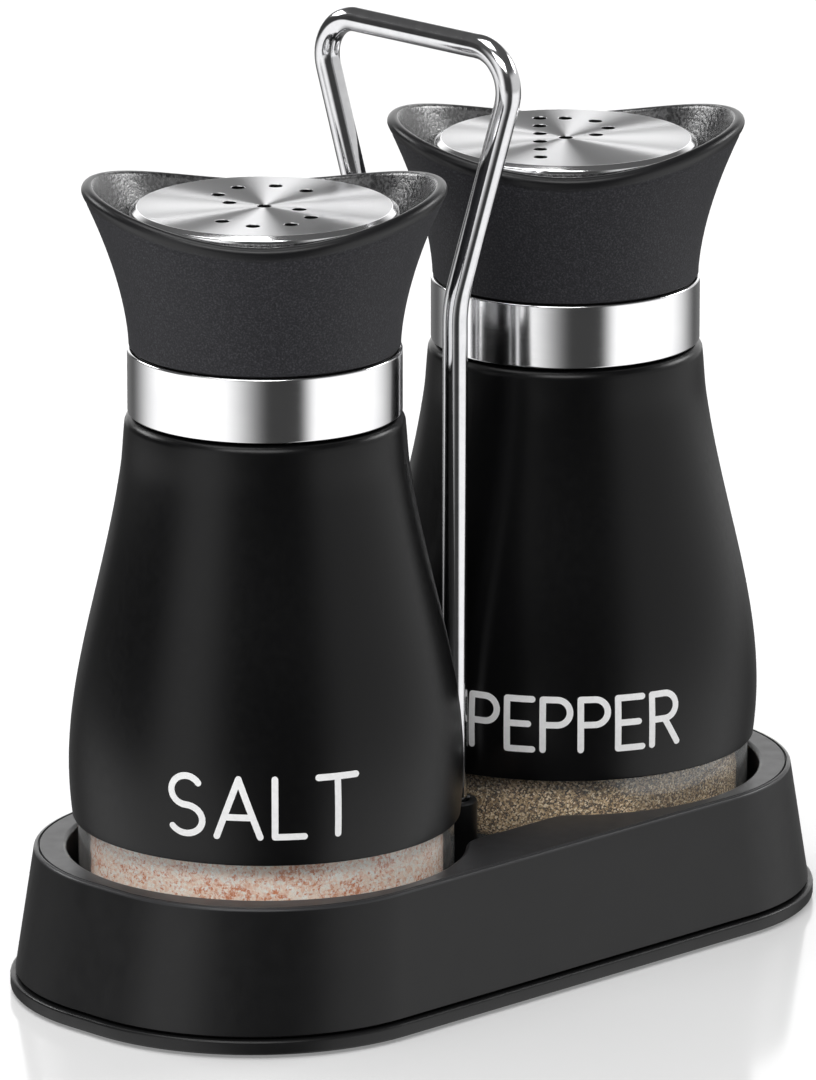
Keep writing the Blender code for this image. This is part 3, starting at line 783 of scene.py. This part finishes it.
def make_screws(material):
    """Screws with domed cross-recess heads, which face down."""
    low, high = node_low("base_screw_1").z, node_high("base_screw_1").z
    head = node_radius("base_screw_1")
    shank = 1.0
    section = rounded([(0, low, 0), (head, low + 0.1, 0.5), (head, low + 0.9, 0.1),
                       (shank, low + 0.9, 0.15), (shank, high - 1.2, 0.2), (0, high, 0)])
    for number, place in enumerate(four("base_screw"), 1):
        screw = body(turned(section, 40, place))
        slots = []
        for turn in (0, 90):
            slot = box_body(1.5, 0.3, low - 0.5, low + 0.6)
            slot.data.transform(Matrix.Translation((*place, 0)) @ Matrix.Rotation(
                math.radians(turn + 27 * number), 4, "Z"))
            slots.append(slot)
        combine(screw, slots, "DIFFERENCE")
        finish_piece(bmesh_of(screw), f"holder_screw_{number}", material, "caddy", "zinc_fixings",
                     [f"base_screw_{number}"])


def corner_arc(before, corner, after, radius, steps):
    """Points of an arc that rounds a corner between two straight lines."""
    incoming = (before - corner).normalized()
    outgoing = (after - corner).normalized()
    half_angle = incoming.angle(outgoing) / 2
    centre = corner + (incoming + outgoing).normalized() * (radius / math.sin(half_angle))
    reach = radius / math.tan(half_angle)
    start = (corner + incoming * reach - centre).normalized()
    end = (corner + outgoing * reach - centre).normalized()
    return [centre + start.slerp(end, i / steps) * radius for i in range(steps + 1)]


def make_handle(material):
    """Bent wire in the plane x = 0, swept with a round section and bevelled ends."""
    front = [Vector((0, -LEG_Y, LEG_END_Z)), Vector((0, -LEG_Y, LEG_BEND_Z)),
             Vector((0, -TOP_HALF_WIDTH, TOP_Z))]
    back = [Vector((0, -point.y, point.z)) for point in reversed(front)]
    path = [front[0], front[0] + Vector((0, 0, 0.3))]
    path += [front[0].lerp(front[1], k / 8) for k in range(1, 8)]
    path += corner_arc(*front, LEG_BEND_RADIUS, 8)
    path += corner_arc(front[1], front[2], back[0], TOP_CORNER_RADIUS, 18)
    path += corner_arc(front[2], back[0], back[1], TOP_CORNER_RADIUS, 18)
    path += corner_arc(*back, LEG_BEND_RADIUS, 8)
    path += [back[1].lerp(back[2], k / 8) for k in range(1, 8)]
    path += [back[2] + Vector((0, 0, 0.3)), back[2]]
    rings = []
    sides = 40
    for i, point in enumerate(path):
        along = (path[min(i + 1, len(path) - 1)] - path[max(i - 1, 0)]).normalized()
        across = along.cross(Vector((1, 0, 0)))
        radius = WIRE_RADIUS - (0.3 if i in (0, len(path) - 1) else 0)
        rings.append([point + radius * (Vector((1, 0, 0)) * math.cos(a) + across * math.sin(a))
                      for a in (2 * math.pi * k / sides for k in range(sides))])
    finish_piece(skin(rings), "carry_handle", material, "caddy", "chrome_wire", ["handle_wire"])


def make_fixings(material):
    """Washer and chamfered hexagon nut on each leg of the handle."""
    for side, place in zip(("front", "back"), leg_places()):
        washer = f"handle_washer_{side}"
        low, high = node_low(washer).z, node_high(washer).z
        radius = node_radius(washer)
        section = rounded([(POST_BORE, low, 0.1), (radius, low, 0.2), (radius, high, 0.2),
                           (POST_BORE, high, 0.1)], 30)
        finish_piece(turned(section, 48, place), f"leg_washer_{side}", material, "caddy",
                     "zinc_fixings", [washer])
        nut = f"handle_nut_{side}"
        low, high = node_low(nut).z, node_high(nut).z
        corner = node_radius(nut)
        hexagon = body(turned(rod(corner, low, high), 6, place))
        cone = [(0, low - 0.1), (corner - 0.75, low - 0.1), (corner + 0.2, low + 0.55),
                (corner + 0.2, high - 0.55), (corner - 0.75, high + 0.1), (0, high + 0.1)]
        combine(hexagon, [body(turned(cone, 48, place))], "INTERSECT")
        combine(hexagon, [body(turned(rod(POST_BORE, low - 1, high + 1), 32, place))], "DIFFERENCE")
        finish_piece(bmesh_of(hexagon), f"leg_nut_{side}", material, "caddy", "zinc_fixings", [nut])


# ---------------------------------------------------------------- shaker body

def body_radius(height):
    """Outer radius of a shaker's sleeve at a height, a smooth curve through the knots."""
    for (z0, r0, s0), (z1, r1, s1) in zip(BODY_KNOTS, BODY_KNOTS[1:]):
        if height <= z1:
            break
    t = (height - z0) / (z1 - z0)
    rise = t * t * (3 - 2 * t)
    start = s0 * t * (1 - t) ** 2
    end = s1 * t * t * (t - 1)
    return r0 + (r1 - r0) * rise + (start + end) * (z1 - z0)


def sleeve_radius(height):
    """Radius of the painted sleeve, which keeps a fuller shoulder than the plain curve."""
    radius = body_radius(height)
    if height > SHOULDER_START_Z:
        share = (height - SHOULDER_START_Z) / (BODY_KNOTS[-1][0] - SHOULDER_START_Z)
        radius += SHOULDER_SWELL * share * share * (3 - 2 * share)
    return radius


def levels(low, high, step):
    count = max(1, math.ceil((high - low) / step))
    return [low + (high - low) * k / count for k in range(count + 1)]


def make_sleeve(flavour, material):
    """Painted steel sleeve with a rounded hem and a rounded shoulder under the band."""
    low, high = BODY_KNOTS[0][0], BODY_KNOTS[-1][0] - 0.05
    hem = 0.25
    shoulder = 1.5
    outside = [(sleeve_radius(low) - hem, low), (sleeve_radius(low) - 0.3 * hem, low + 0.3 * hem)]
    outside += [(sleeve_radius(z), z) for z in levels(low + hem, high - shoulder, 1.2)]
    turn_radius = sleeve_radius(high - shoulder)
    outside += [(turn_radius - shoulder * (1 - cosine), high - shoulder * (1 - sine))
                for sine, cosine in turns(15, 30, 45, 60, 75, 85)]
    top_radius = outside[-1][0] - 0.25
    inside = [(top_radius, high), (top_radius, high - SLEEVE_SHEET)]
    inside += [(body_radius(z) - SLEEVE_SHEET, z)
               for z in reversed(levels(low + hem, high - shoulder - 0.6, 2.4))]
    inside.append((sleeve_radius(low) - SLEEVE_SHEET, low))
    finish_shaker_piece(turned(outside + inside, 160), flavour, "painted_sleeve", material, "bottle",
                        "sleeve_paint", "sleeve")


def inner_wall(offset, top_z):
    """Inside of the bottle from its floor to a height, moved in by an offset."""
    gap = SLEEVE_SHEET + GAP + 0.05 + GLASS_WALL
    floor_z = GLASS_FLOOR_Z + offset
    points = [(23.0, floor_z)]
    points += [(BASE_BORE - 3 - offset + 3 * sine, floor_z + 3 * (1 - cosine))
               for sine, cosine in turns(20, 45, 70, 90)]
    points.append((BASE_BORE - offset, 25.5))
    points += [(body_radius(z) - gap - offset, z)
               for z in levels(28.15, NECK_BOTTOM_Z - 3, 2.5) if z < top_z]
    return points


def thread_ridge(wall_radius, outwards, start_z):
    """Helical ridge that fades out at both ends; its root lies inside the wall."""
    root = wall_radius - outwards * THREAD_ROOT_DEPTH
    steps = round(THREAD_STEPS * THREAD_TURNS)
    fade_steps = 5
    rings = []
    for step in range(steps + 1):
        share = min(1.0, (min(step, steps - step) + 0.4) / fade_steps)
        crest = wall_radius + outwards * THREAD_DEPTH * math.sin(share * math.pi / 2)
        turned_by = step / THREAD_STEPS
        angle = 2 * math.pi * turned_by
        section = ((root, -0.75), (crest - outwards * 0.25, -0.5), (crest, -0.25), (crest, 0.25),
                   (crest - outwards * 0.25, 0.5), (root, 0.75))
        rings.append([Vector((radius * math.cos(angle), radius * math.sin(angle),
                              start_z + THREAD_PITCH * turned_by + rise)) for radius, rise in section])
    return body(skin(rings))


def make_bottle(flavour, material):
    """Thick-footed glass bottle with a screw neck."""
    gap = SLEEVE_SHEET + GAP + 0.05
    foot_z = GLASS_FOOT_Z
    outside = [(0, foot_z + 1.6), (18.0, foot_z + 1.4), (21.5, foot_z + 1.0), (23.2, foot_z + 0.2),
               (24.2, foot_z), (25.8, foot_z)]
    outside += [(GLASS_BASE_RADIUS - 3.4 + 3.4 * sine, foot_z + 3.4 * (1 - cosine))
                for sine, cosine in turns(20, 45, 70, 90)]
    outside += [(GLASS_BASE_RADIUS, 20.0), (GLASS_BASE_RADIUS, 26.0)]
    outside += [(body_radius(z) - gap, z) for z in levels(28.15, 88.0, 2.5)]
    outside += [(20.6, 90.2), (19.6, 91.6), (18.4, 92.5), (NECK_RADIUS, 93.2)]
    outside += rounded([(NECK_RADIUS, 100, 0), (NECK_RADIUS, NECK_TOP_Z, 0.7),
                        (NECK_BORE, NECK_TOP_Z, 0.5), (NECK_BORE, 100, 0)])
    inside = inner_wall(0, NECK_BOTTOM_Z)
    inside += [(NECK_BORE + 1.6, NECK_BOTTOM_Z - 1.2), (NECK_BORE + 0.3, NECK_BOTTOM_Z - 0.2),
               (NECK_BORE, NECK_BOTTOM_Z + 1)]
    section = outside + list(reversed(inside)) + [(0, GLASS_FLOOR_Z)]
    bottle = body(turned(section, 128))
    combine(bottle, [thread_ridge(NECK_RADIUS, 1, THREAD_START_Z)], "UNION")
    piece = finish_shaker_piece(bmesh_of(bottle), flavour, "clear_bottle", material, "bottle",
                                "clear_glass", "glass_bottle")
    piece.visible_shadow = False


def make_grains(flavour, material, slot, grain):
    """Heap of salt or pepper: its skin is dented between the grains."""
    section = [(0, GLASS_FLOOR_Z + GAP)]
    section += [(radius, GLASS_FLOOR_Z + GAP) for radius in (8.0, 16.0, 20.0)]
    wall = inner_wall(GAP, FILL_TOP_Z)
    dense = [(BASE_BORE - GAP, z) for z in levels(21.5, 28.0, 0.35)]
    section += [point for point in wall if point[1] < 21.0]
    section += dense + [point for point in wall if point[1] > 28.5]
    top_radius = section[-1][0] - 0.6
    section += [(top_radius, FILL_TOP_Z), (top_radius * 0.7, FILL_TOP_Z + 0.8),
                (top_radius * 0.35, FILL_TOP_Z + 1.7), (0, FILL_TOP_Z + 2)]
    bm = turned(section, 288)
    for vertex in bm.verts:
        place = vertex.co
        if place.xy.length < 1:
            continue
        dent = 0.12 * (0.5 + 0.5 * noise.noise(place / grain)) + 0.06 * abs(noise.noise(place * 1.7))
        inward = Vector((place.x, place.y, 0)).normalized()
        vertex.co = place - inward * dent
    finish_shaker_piece(bm, flavour, "grains", material, "bottle", slot, "fill", sharp=80)


# ---------------------------------------------------------------- label

def polyline_arc(cx, cy, rx, ry, start, end):
    steps = max(4, round(abs(end - start) / 12))
    angles = [math.radians(start + (end - start) * k / steps) for k in range(steps + 1)]
    return [(cx + rx * math.cos(a), cy + ry * math.sin(a)) for a in angles]


def letter(name):
    """Width and strokes of a plain letter, for a cap height of 1."""
    bowl = [(0, 1), (0.28, 1)] + polyline_arc(0.28, 0.75, 0.25, 0.25, 90, -90) + [(0, 0.5)]
    shapes = {
        "S": (0.6, [polyline_arc(0.3, 0.75, 0.27, 0.25, 35, 270)
                    + polyline_arc(0.3, 0.25, 0.3, 0.25, 90, -145)[1:]]),
        "A": (0.74, [[(0, 0), (0.37, 1), (0.74, 0)], [(0.13, 0.34), (0.61, 0.34)]]),
        "L": (0.5, [[(0, 1), (0, 0), (0.5, 0)]]),
        "T": (0.68, [[(0, 1), (0.68, 1)], [(0.34, 1), (0.34, 0)]]),
        "P": (0.53, [[(0, 0), (0, 1)], bowl]),
        "E": (0.5, [[(0.5, 1), (0, 1), (0, 0), (0.5, 0)], [(0, 0.51), (0.42, 0.51)]]),
        "R": (0.56, [[(0, 0), (0, 1)], bowl, [(0.27, 0.5), (0.56, 0)]]),
    }
    return shapes[name]


def stroke_body(start, end, half_width, low, high):
    """Flat bar with round ends between two points."""
    along = (end - start).normalized()
    side = Vector((-along.y, along.x))
    outline = []
    for centre, first in ((start, 90), (end, -90)):
        for k in range(9):
            angle = math.radians(first + 22.5 * k)
            outline.append(centre + half_width * (along * math.cos(angle) + side * math.sin(angle)))
    return body(skin([[Vector((point.x, point.y, z)) for point in outline] for z in (low, high)]))


def word_body(word, cap_height, spacing, half_width, low, high):
    """Raised plain capitals, centred, flat in the XY plane."""
    widths = [letter(name)[0] * cap_height for name in word]
    cursor = -(sum(widths) + spacing * (len(word) - 1)) / 2
    letters = []
    for name, width in zip(word, widths):
        strokes = []
        for points in letter(name)[1]:
            placed = [Vector((cursor + x * cap_height, (y - 0.5) * cap_height)) for x, y in points]
            strokes += [stroke_body(a, b, half_width, low, high)
                        for a, b in zip(placed, placed[1:]) if (b - a).length > 1e-4]
        letters.append(combine(strokes[0], strokes[1:], "UNION"))
        cursor += width + spacing
    return merged(letters)


def make_label(flavour, word, cap_height, spacing, middle_z, shift, material):
    """White print wrapped on the sleeve's front."""
    half_width = 0.52
    slice_width = 0.83
    bm = bmesh_of(word_body(word, cap_height, spacing, half_width, -0.15, 0.07))
    for direction, reach in ((Vector((1, 0, 0)), 24), (Vector((0, 1, 0)), 8)):
        for k in range(-reach, reach + 1):
            geometry = bm.verts[:] + bm.edges[:] + bm.faces[:]
            bmesh.ops.bisect_plane(bm, geom=geometry, plane_co=direction * k * slice_width,
                                   plane_no=direction)
    turn_radius = body_radius(middle_z)
    for vertex in bm.verts:
        across, up, out = vertex.co
        height = middle_z + up
        angle = (across + shift) / turn_radius - math.pi / 2
        radius = body_radius(height) + out
        vertex.co = (radius * math.cos(angle), radius * math.sin(angle), height)
    finish_piece(bm, f"{flavour}_label", material, f"{flavour}_bottle", flavour=flavour, sharp=50)


# ---------------------------------------------------------------- cap

def make_seal(flavour, material):
    node = f"{flavour}_seal_ring"
    low, high = node_low(node).z, node_high(node).z
    bore, radius = 13.8, node_radius(node)
    section = rounded([(bore, low, 0.25), (radius, low, 0.35), (radius, high, 0.35),
                       (bore, high, 0.25)], 30)
    finish_shaker_piece(turned(section, 96), flavour, "seal", material, "seal", "seal_silicone",
                        "seal_ring")


def make_core(flavour, material):
    """Threaded inner cap with a shelf over the bottle's mouth."""
    node = f"{flavour}_cap_core"
    low, high = node_low(node).z, node_high(node).z
    skirt, wall, shelf_z, shelf_top_z = 20.6, 20.1, 105.8, 107.4
    step_z = node_high(f"{flavour}_neck_band").z - 0.1
    section = rounded([(skirt, low, 0.3), (skirt, step_z, 0.15), (wall, step_z, 0.1),
                       (wall, high, 0.3), (wall - 1.5, high, 0.3), (wall - 1.5, shelf_top_z, 0.6),
                       (CORE_SHELF_BORE, shelf_top_z, 0.3), (CORE_SHELF_BORE, shelf_z, 0.2),
                       (CORE_BORE, shelf_z, 0.15), (CORE_BORE, low, 0.3)], 30)
    core = body(turned(section, 96))
    combine(core, [thread_ridge(CORE_BORE, -1, THREAD_START_Z - THREAD_PITCH / 2)], "UNION")
    finish_shaker_piece(bmesh_of(core), flavour, "inner_cap", material, "cap", "cap_plastic",
                        "cap_core")


def make_band(flavour, material):
    """Polished band with rolled edges."""
    node = f"{flavour}_neck_band"
    low, high, radius = node_low(node).z, node_high(node).z, 21.45
    section = rounded([(radius - 0.5, low, 0.12), (radius, low, 0.3), (radius, high, 0.3),
                       (radius - 0.5, high, 0.12)], 22.5)
    finish_shaker_piece(turned(section, 192), flavour, "steel_band", material, "cap",
                        "polished_steel", "neck_band")


def lip_places(angle):
    """Radius and height of the lip's centre and of the well's edge, at an angle round the collar."""
    tip = math.cos(angle) ** 2
    return [low + (high - low) * tip for low, high in (LIP_CENTRE_RADIUS, LIP_CENTRE_Z,
                                                       WELL_EDGE_RADIUS, WELL_EDGE_Z)]


def collar_section(angle):
    """Section of the collar: its lip rises and flares most along X, and dips along Y."""
    places = lip_places(angle)
    centre = Vector(places[:2])
    rise = centre.y - COLLAR_BOTTOM_Z
    lean = math.atan(COLLAR_FLARE_POWER * (centre.x + LIP_RADIUS - COLLAR_BOTTOM_RADIUS) / rise)
    flare = centre.x + LIP_RADIUS * math.cos(lean) - COLLAR_BOTTOM_RADIUS
    top = rise - LIP_RADIUS * math.sin(lean)
    section = [(COLLAR_BORE, COLLAR_BOTTOM_Z), (COLLAR_BOTTOM_RADIUS - 0.2, COLLAR_BOTTOM_Z)]
    shares = [0.012] + [k / 16 for k in range(1, 13)] + [0.76 + 0.24 * k / 24 for k in range(25)]
    for share in shares:
        below = (1 - share) * top
        groove = LIP_GROOVE_DEPTH * math.exp(-((below - LIP_BEAD) / 0.28) ** 2)
        radius = COLLAR_BOTTOM_RADIUS + flare * share ** COLLAR_FLARE_POWER - groove
        section.append((radius, COLLAR_BOTTOM_Z + top * share))
    well_edge = Vector(places[2:])
    away = well_edge - centre
    last = math.atan2(away.y, away.x) % (2 * math.pi) - math.acos(LIP_RADIUS / away.length)
    for k in range(1, 13):
        turn = -lean + (last + lean) * k / 12
        section.append((centre.x + LIP_RADIUS * math.cos(turn), centre.y + LIP_RADIUS * math.sin(turn)))
    start = Vector(section[-1])
    end = Vector((TRENCH_RADIUS, TRENCH_FLOOR_Z + 0.6))
    for k in range(1, 11):
        t = k / 10
        point = start * (1 - t) ** 2 + well_edge * 2 * t * (1 - t) + end * t * t
        section.append((point.x, point.y))
    section += [(TRENCH_RADIUS - 0.3, TRENCH_FLOOR_Z + 0.15), (COLLAR_BORE + 0.4, TRENCH_FLOOR_Z),
                (COLLAR_BORE, TRENCH_FLOOR_Z - 0.6)]
    return section


def lip_mask(place):
    """1 on the smooth bead of the lip and 0 on the grained plastic."""
    centre_radius, centre_z = lip_places(math.atan2(place.y, place.x))[:2]
    radius = place.xy.length
    distance = math.hypot(radius - centre_radius, place.z - centre_z)
    inner = 1 if radius > centre_radius - 0.6 else 0
    return inner * min(1, max(0, (LIP_BEAD + 0.5 - distance) / 0.5))


def is_inside_lip(place):
    """True on the surface that slopes from the lip down to the trench round the disc."""
    centre_radius, centre_z, edge_radius, edge_z = lip_places(math.atan2(place.y, place.x))
    if place.z > centre_z:
        return place.xy.length < centre_radius - 0.45
    if place.z > edge_z:
        rise = (place.z - edge_z) / (centre_z - edge_z)
        return place.xy.length < edge_radius + (centre_radius - edge_radius) * rise + 0.4
    rise = max(0.0, (place.z - TRENCH_FLOOR_Z) / (edge_z - TRENCH_FLOOR_Z))
    inner = TRENCH_RADIUS + (edge_radius - TRENCH_RADIUS) * rise + 0.4
    return place.z > TRENCH_FLOOR_Z - 0.5 and place.xy.length < inner


def make_collar(flavour, material, inside):
    """Flared saddle-shaped collar."""
    sides = 224
    sections = [collar_section(2 * math.pi * i / sides) for i in range(sides)]
    rings = []
    for j in range(len(sections[0])):
        ring = []
        for i, section in enumerate(sections):
            radius, height = section[j]
            angle = 2 * math.pi * i / sides
            ring.append(Vector((radius * math.cos(angle), radius * math.sin(angle), height)))
        rings.append(ring)
    bm = skin(rings, wrapped=True)
    # Faces on the inside of the lip take the second material, whose lighter flecks are a painted sheen.
    for face in bm.faces:
        face.material_index = 1 if is_inside_lip(face.calc_center_median()) else 0
    piece = finish_shaker_piece(bm, flavour, "flared_collar", material, "cap", "collar_plastic",
                                "collar", masks={"lip": lip_mask})
    piece.data.materials.append(inside)


def salt_holes():
    """Hole centres along an S: one half loop, and the same turned half round."""
    places = []
    for step in range(SALT_LOOP_STEPS + 1):
        share = step / SALT_LOOP_STEPS
        angle = math.radians(SALT_LOOP_START + (270 - SALT_LOOP_START) * share)
        x = SALT_LOOP_STRETCH * HOLE_LOOP_RADIUS * math.cos(angle)
        y = HOLE_LOOP_RADIUS * (1 + math.sin(angle))
        places.append((x, y))
    return places + [(-x, -y) for x, y in places[:-1]]


def pepper_holes():
    """Hole centres along a P: a straight stem, and a half loop beside its upper half."""
    top = 2 * HOLE_LOOP_RADIUS
    places = []
    for step in range(PEPPER_STEM_HOLES):
        share = step / (PEPPER_STEM_HOLES - 1)
        places.append((PEPPER_STEM_X, top * (2 * share - 1)))
    for step in range(PEPPER_LOOP_STEPS + 1):
        angle = math.pi * (step / PEPPER_LOOP_STEPS - 0.5)
        places.append((HOLE_LOOP_RADIUS * math.cos(angle),
                       HOLE_LOOP_RADIUS * (1 + math.sin(angle))))
    return places


def make_disc(flavour, material, hole_wall_shadow, rim, hole_places):
    """Brushed disc with a bevelled rim, a short skirt and countersunk pour holes."""
    sheet = DISC_SHEET
    bevel = 0.55
    section = rounded([(0, DISC_Z, 0), (DISC_RADIUS - 1.1, DISC_Z, 0.3),
                       (DISC_RADIUS - 0.15, DISC_Z - bevel, 0.4), (DISC_RADIUS, DISC_Z - 1.1, 0.5),
                       (DISC_RADIUS, DISC_SKIRT_Z, 0.1), (DISC_RADIUS - sheet, DISC_SKIRT_Z, 0.1),
                       (DISC_RADIUS - sheet, DISC_Z - 1.3, 0.2),
                       (DISC_RADIUS - 1.3, DISC_Z - sheet, 0.2),
                       (0, DISC_Z - sheet, 0)])
    disc = body(turned(section, 192))
    hole = [(0, DISC_Z - 3), (HOLE_RADIUS, DISC_Z - 3), (HOLE_RADIUS, DISC_Z - 0.08),
            (HOLE_RADIUS + 0.08, DISC_Z), (HOLE_RADIUS + 0.08, DISC_Z + 1), (0, DISC_Z + 1)]
    combine(disc, [merged([body(turned(hole, 32, place)) for place in hole_places])], "DIFFERENCE")
    bm = bmesh_of(disc)
    bm.normal_update()
    # Rim faces take polished steel; the steep hole walls take the near-black material, a painted shadow
    # inside the holes.
    for face in bm.faces:
        middle = face.calc_center_median()
        if middle.xy.length > DISC_RADIUS - 1.2 and middle.z > DISC_SKIRT_Z + 0.1:
            face.material_index = 2
        elif abs(face.normal.z) < 0.5 and middle.xy.length < DISC_RADIUS - 2:
            face.material_index = 1
    piece = finish_shaker_piece(bm, flavour, "brushed_disc", material, "cap", "brushed_steel",
                                "pour_disc", sharp=40)
    piece.data.materials.append(hole_wall_shadow)
    piece.data.materials.append(rim)


# ---------------------------------------------------------------- studio

CAMERA_AZIMUTH = math.radians(-44.703)
CAMERA_ELEVATION = math.radians(15.068)
CAMERA_DISTANCE = 1.84245
CAMERA_LENS = 388.05
TARGET_SHIFT = -0.001414
TARGET_Z = 0.06595
# The studio's surroundings are soft-edged areas of light. Each is given by the bearings of its start
# and end in degrees from the camera's direction, negative to the camera's left, by how soft each of
# these edges is, and by its brightness. The low areas show in upright polished metal, the high ones
# in the sleeves, the discs and the holder.
LOW_AREAS = ((-120, -18, 28, 24, 1.25),
             (37, 122, 9, 26, 1.2),
             (150, 210, 25, 25, 0.15))
HIGH_AREAS = ((-66, -30, 14, 13, 1.2),
              (38, 150, 12, 12, 0.7),
              (155, 205, 14, 14, 1.45))
LOW_TO_HIGH = (-0.2, -0.09)    # upward part of the direction over which low areas give way to high
HIGH_TO_OVERHEAD = (0.34, 0.52)
SURROUND_BASE = 0.05
OVERHEAD_LEVEL = 0.1
BACKDROP_LEVEL = 1.1          # what the camera sees behind the floor's far edge


def make_camera():
    data = bpy.data.cameras.new("camera")
    data.lens = CAMERA_LENS
    data.sensor_width = 36
    data.clip_end = 20
    camera = add_object("camera", data)
    azimuth, elevation = CAMERA_AZIMUTH, CAMERA_ELEVATION
    target = Vector((math.cos(azimuth), math.sin(azimuth), 0)) * TARGET_SHIFT
    target.z = TARGET_Z
    back = Vector((math.sin(azimuth) * math.cos(elevation),
                   -math.cos(azimuth) * math.cos(elevation), math.sin(elevation)))
    camera.location = target + back * CAMERA_DISTANCE
    camera.rotation_euler = (math.pi / 2 - elevation, 0, azimuth)
    bpy.context.scene.camera = camera


def make_panel(name, bearing, elevation, distance, width, height, radiance):
    """Light panel that faces the object, placed by its bearing and its elevation in degrees."""
    data = bpy.data.lights.new(name, "AREA")
    data.shape = "RECTANGLE"
    data.size = width
    data.size_y = height
    data.energy = radiance * math.pi * width * height
    panel = add_object(name, data)
    heading = CAMERA_AZIMUTH + math.radians(bearing)
    rise = math.radians(elevation)
    outward = Vector((math.sin(heading) * math.cos(rise), -math.cos(heading) * math.cos(rise),
                      math.sin(rise)))
    panel.location = outward * distance
    panel.rotation_euler = (math.pi / 2 - rise, 0, heading)
    panel.visible_camera = False


def make_world():
    """Soft surroundings that change with bearing and elevation, and plain white for the camera."""
    world = bpy.data.worlds.new("studio")
    world.use_nodes = True
    tree = world.node_tree

    def smooth_step(value, low, high, top=1.0, start=0.0):
        inputs = {"Value": value, "From Min": low, "From Max": high, "To Min": start, "To Max": top}
        return add_node(tree, "ShaderNodeMapRange", inputs, interpolation_type="SMOOTHSTEP").outputs[0]

    def mixed(factor, a, b):
        return add_node(tree, "ShaderNodeMix", {0: factor, 2: a, 3: b}).outputs[0]

    def maths(operation, *values):
        return add_node(tree, "ShaderNodeMath", dict(enumerate(values)), operation=operation).outputs[0]

    def lit(areas):
        total = SURROUND_BASE
        for start, end, start_edge, end_edge, level in areas:
            middle = math.radians(start + end) / 2
            first = math.radians(start) - middle
            last = math.radians(end) - middle
            offset = maths("WRAP", maths("SUBTRACT", bearing, middle), math.pi, -math.pi)
            soft = math.radians(start_edge)
            risen = smooth_step(offset, first - soft, first + soft)
            soft = math.radians(end_edge)
            kept = smooth_step(offset, last - soft, last + soft, 0.0, level)
            total = maths("MULTIPLY_ADD", risen, kept, total)
        return total

    direction = add_node(tree, "ShaderNodeTexCoord").outputs["Generated"]
    x, y, z = add_node(tree, "ShaderNodeSeparateXYZ", {0: direction}).outputs
    bearing = maths("SUBTRACT", maths("ARCTAN2", x, maths("MULTIPLY", y, -1.0)), CAMERA_AZIMUTH)
    rise = smooth_step(z, *LOW_TO_HIGH)
    overhead = smooth_step(z, *HIGH_TO_OVERHEAD)
    around = mixed(rise, lit(LOW_AREAS), lit(HIGH_AREAS))
    around = mixed(overhead, around, OVERHEAD_LEVEL)
    path = add_node(tree, "ShaderNodeLightPath")
    seen = mixed(path.outputs["Is Camera Ray"], around, BACKDROP_LEVEL)
    background = tree.nodes["Background"]
    tree.links.new(seen, background.inputs["Color"])
    background.inputs["Strength"].default_value = 1.0
    bpy.context.scene.world = world


def make_floor():
    half = 6.0
    bm = bmesh.new()
    corners = ((-half, -half), (half, -half), (half, half), (-half, half))
    bm.faces.new([bm.verts.new((x, y, 0)) for x, y in corners])
    mesh = mesh_from(bm, "floor")
    material = bpy.data.materials.new("pale_floor")
    material.use_nodes = True
    shader = material.node_tree.nodes["Principled BSDF"]
    shader.inputs["Base Color"].default_value = (0.74, 0.74, 0.74, 1)
    shader.inputs["Emission Color"].default_value = (1, 1, 1, 1)
    shader.inputs["Emission Strength"].default_value = 0.22
    shader.inputs["Roughness"].default_value = 0.12
    mesh.materials.append(material)
    floor = add_object("floor", mesh)
    floor.visible_glossy = False


def make_studio():
    make_camera()
    make_world()
    make_floor()
    make_panel("ceiling", -90, 76, 1.2, 0.6, 0.6, 3.8)
    make_panel("front_softbox", -12, 48, 1.2, 0.9, 0.45, 5.6)
    make_panel("left_wing", -122, 30, 1.2, 0.5, 0.3, 7.0)
    make_panel("right_wing", 118, 30, 1.2, 0.5, 0.3, 8.0)
    bpy.context.scene.view_settings.view_transform = "Standard"


# ---------------------------------------------------------------- assembly

def main():
    holder = moulded_plastic("moulded_plastic", 0.008, 0.33, 0.008)
    # The deck's plastic is a lighter copy of the holder's: the lighter colour is a painted sheen.
    make_holder(holder, moulded_plastic("smooth_plastic_painted_sheen", 0.034, 0.32, 0.002))
    make_base_plate(holder)
    make_feet(rubber())
    fixings = zinc()
    make_screws(fixings)
    make_handle(chrome())
    make_fixings(fixings)

    glass, paint, print_paint = clear_glass(), satin_paint(), label_paint()
    seal, plastic, steel = silicone(), inner_plastic(), polished_steel()
    # The material for the inside of the collar's lip has lighter flecks that are a painted sheen.
    collar, lip_inside_painted_sheen = collar_plastic(), hammered_painted_sheen_plastic()
    # The near-black material for the hole walls is a painted shadow.
    brushed, hole_wall_shadow = brushed_steel(), painted_hole_shadow()
    for flavour in FLAVOURS:
        make_bottle(flavour, glass)
        make_sleeve(flavour, paint)
        make_seal(flavour, seal)
        make_core(flavour, plastic)
        make_band(flavour, steel)
        make_collar(flavour, collar, lip_inside_painted_sheen)
    make_grains("salt", pink_salt(), "pink_salt", 0.8)
    make_grains("pepper", ground_pepper(), "ground_pepper", 0.5)
    make_label("salt", "SALT", 9.2, 2.3, 37.6, 0.0, print_paint)
    make_label("pepper", "PEPPER", 8.2, 1.7, 37.6, 1.7, print_paint)
    make_disc("salt", brushed, hole_wall_shadow, steel, salt_holes())
    make_disc("pepper", brushed, hole_wall_shadow, steel, pepper_holes())
    make_studio()


main()
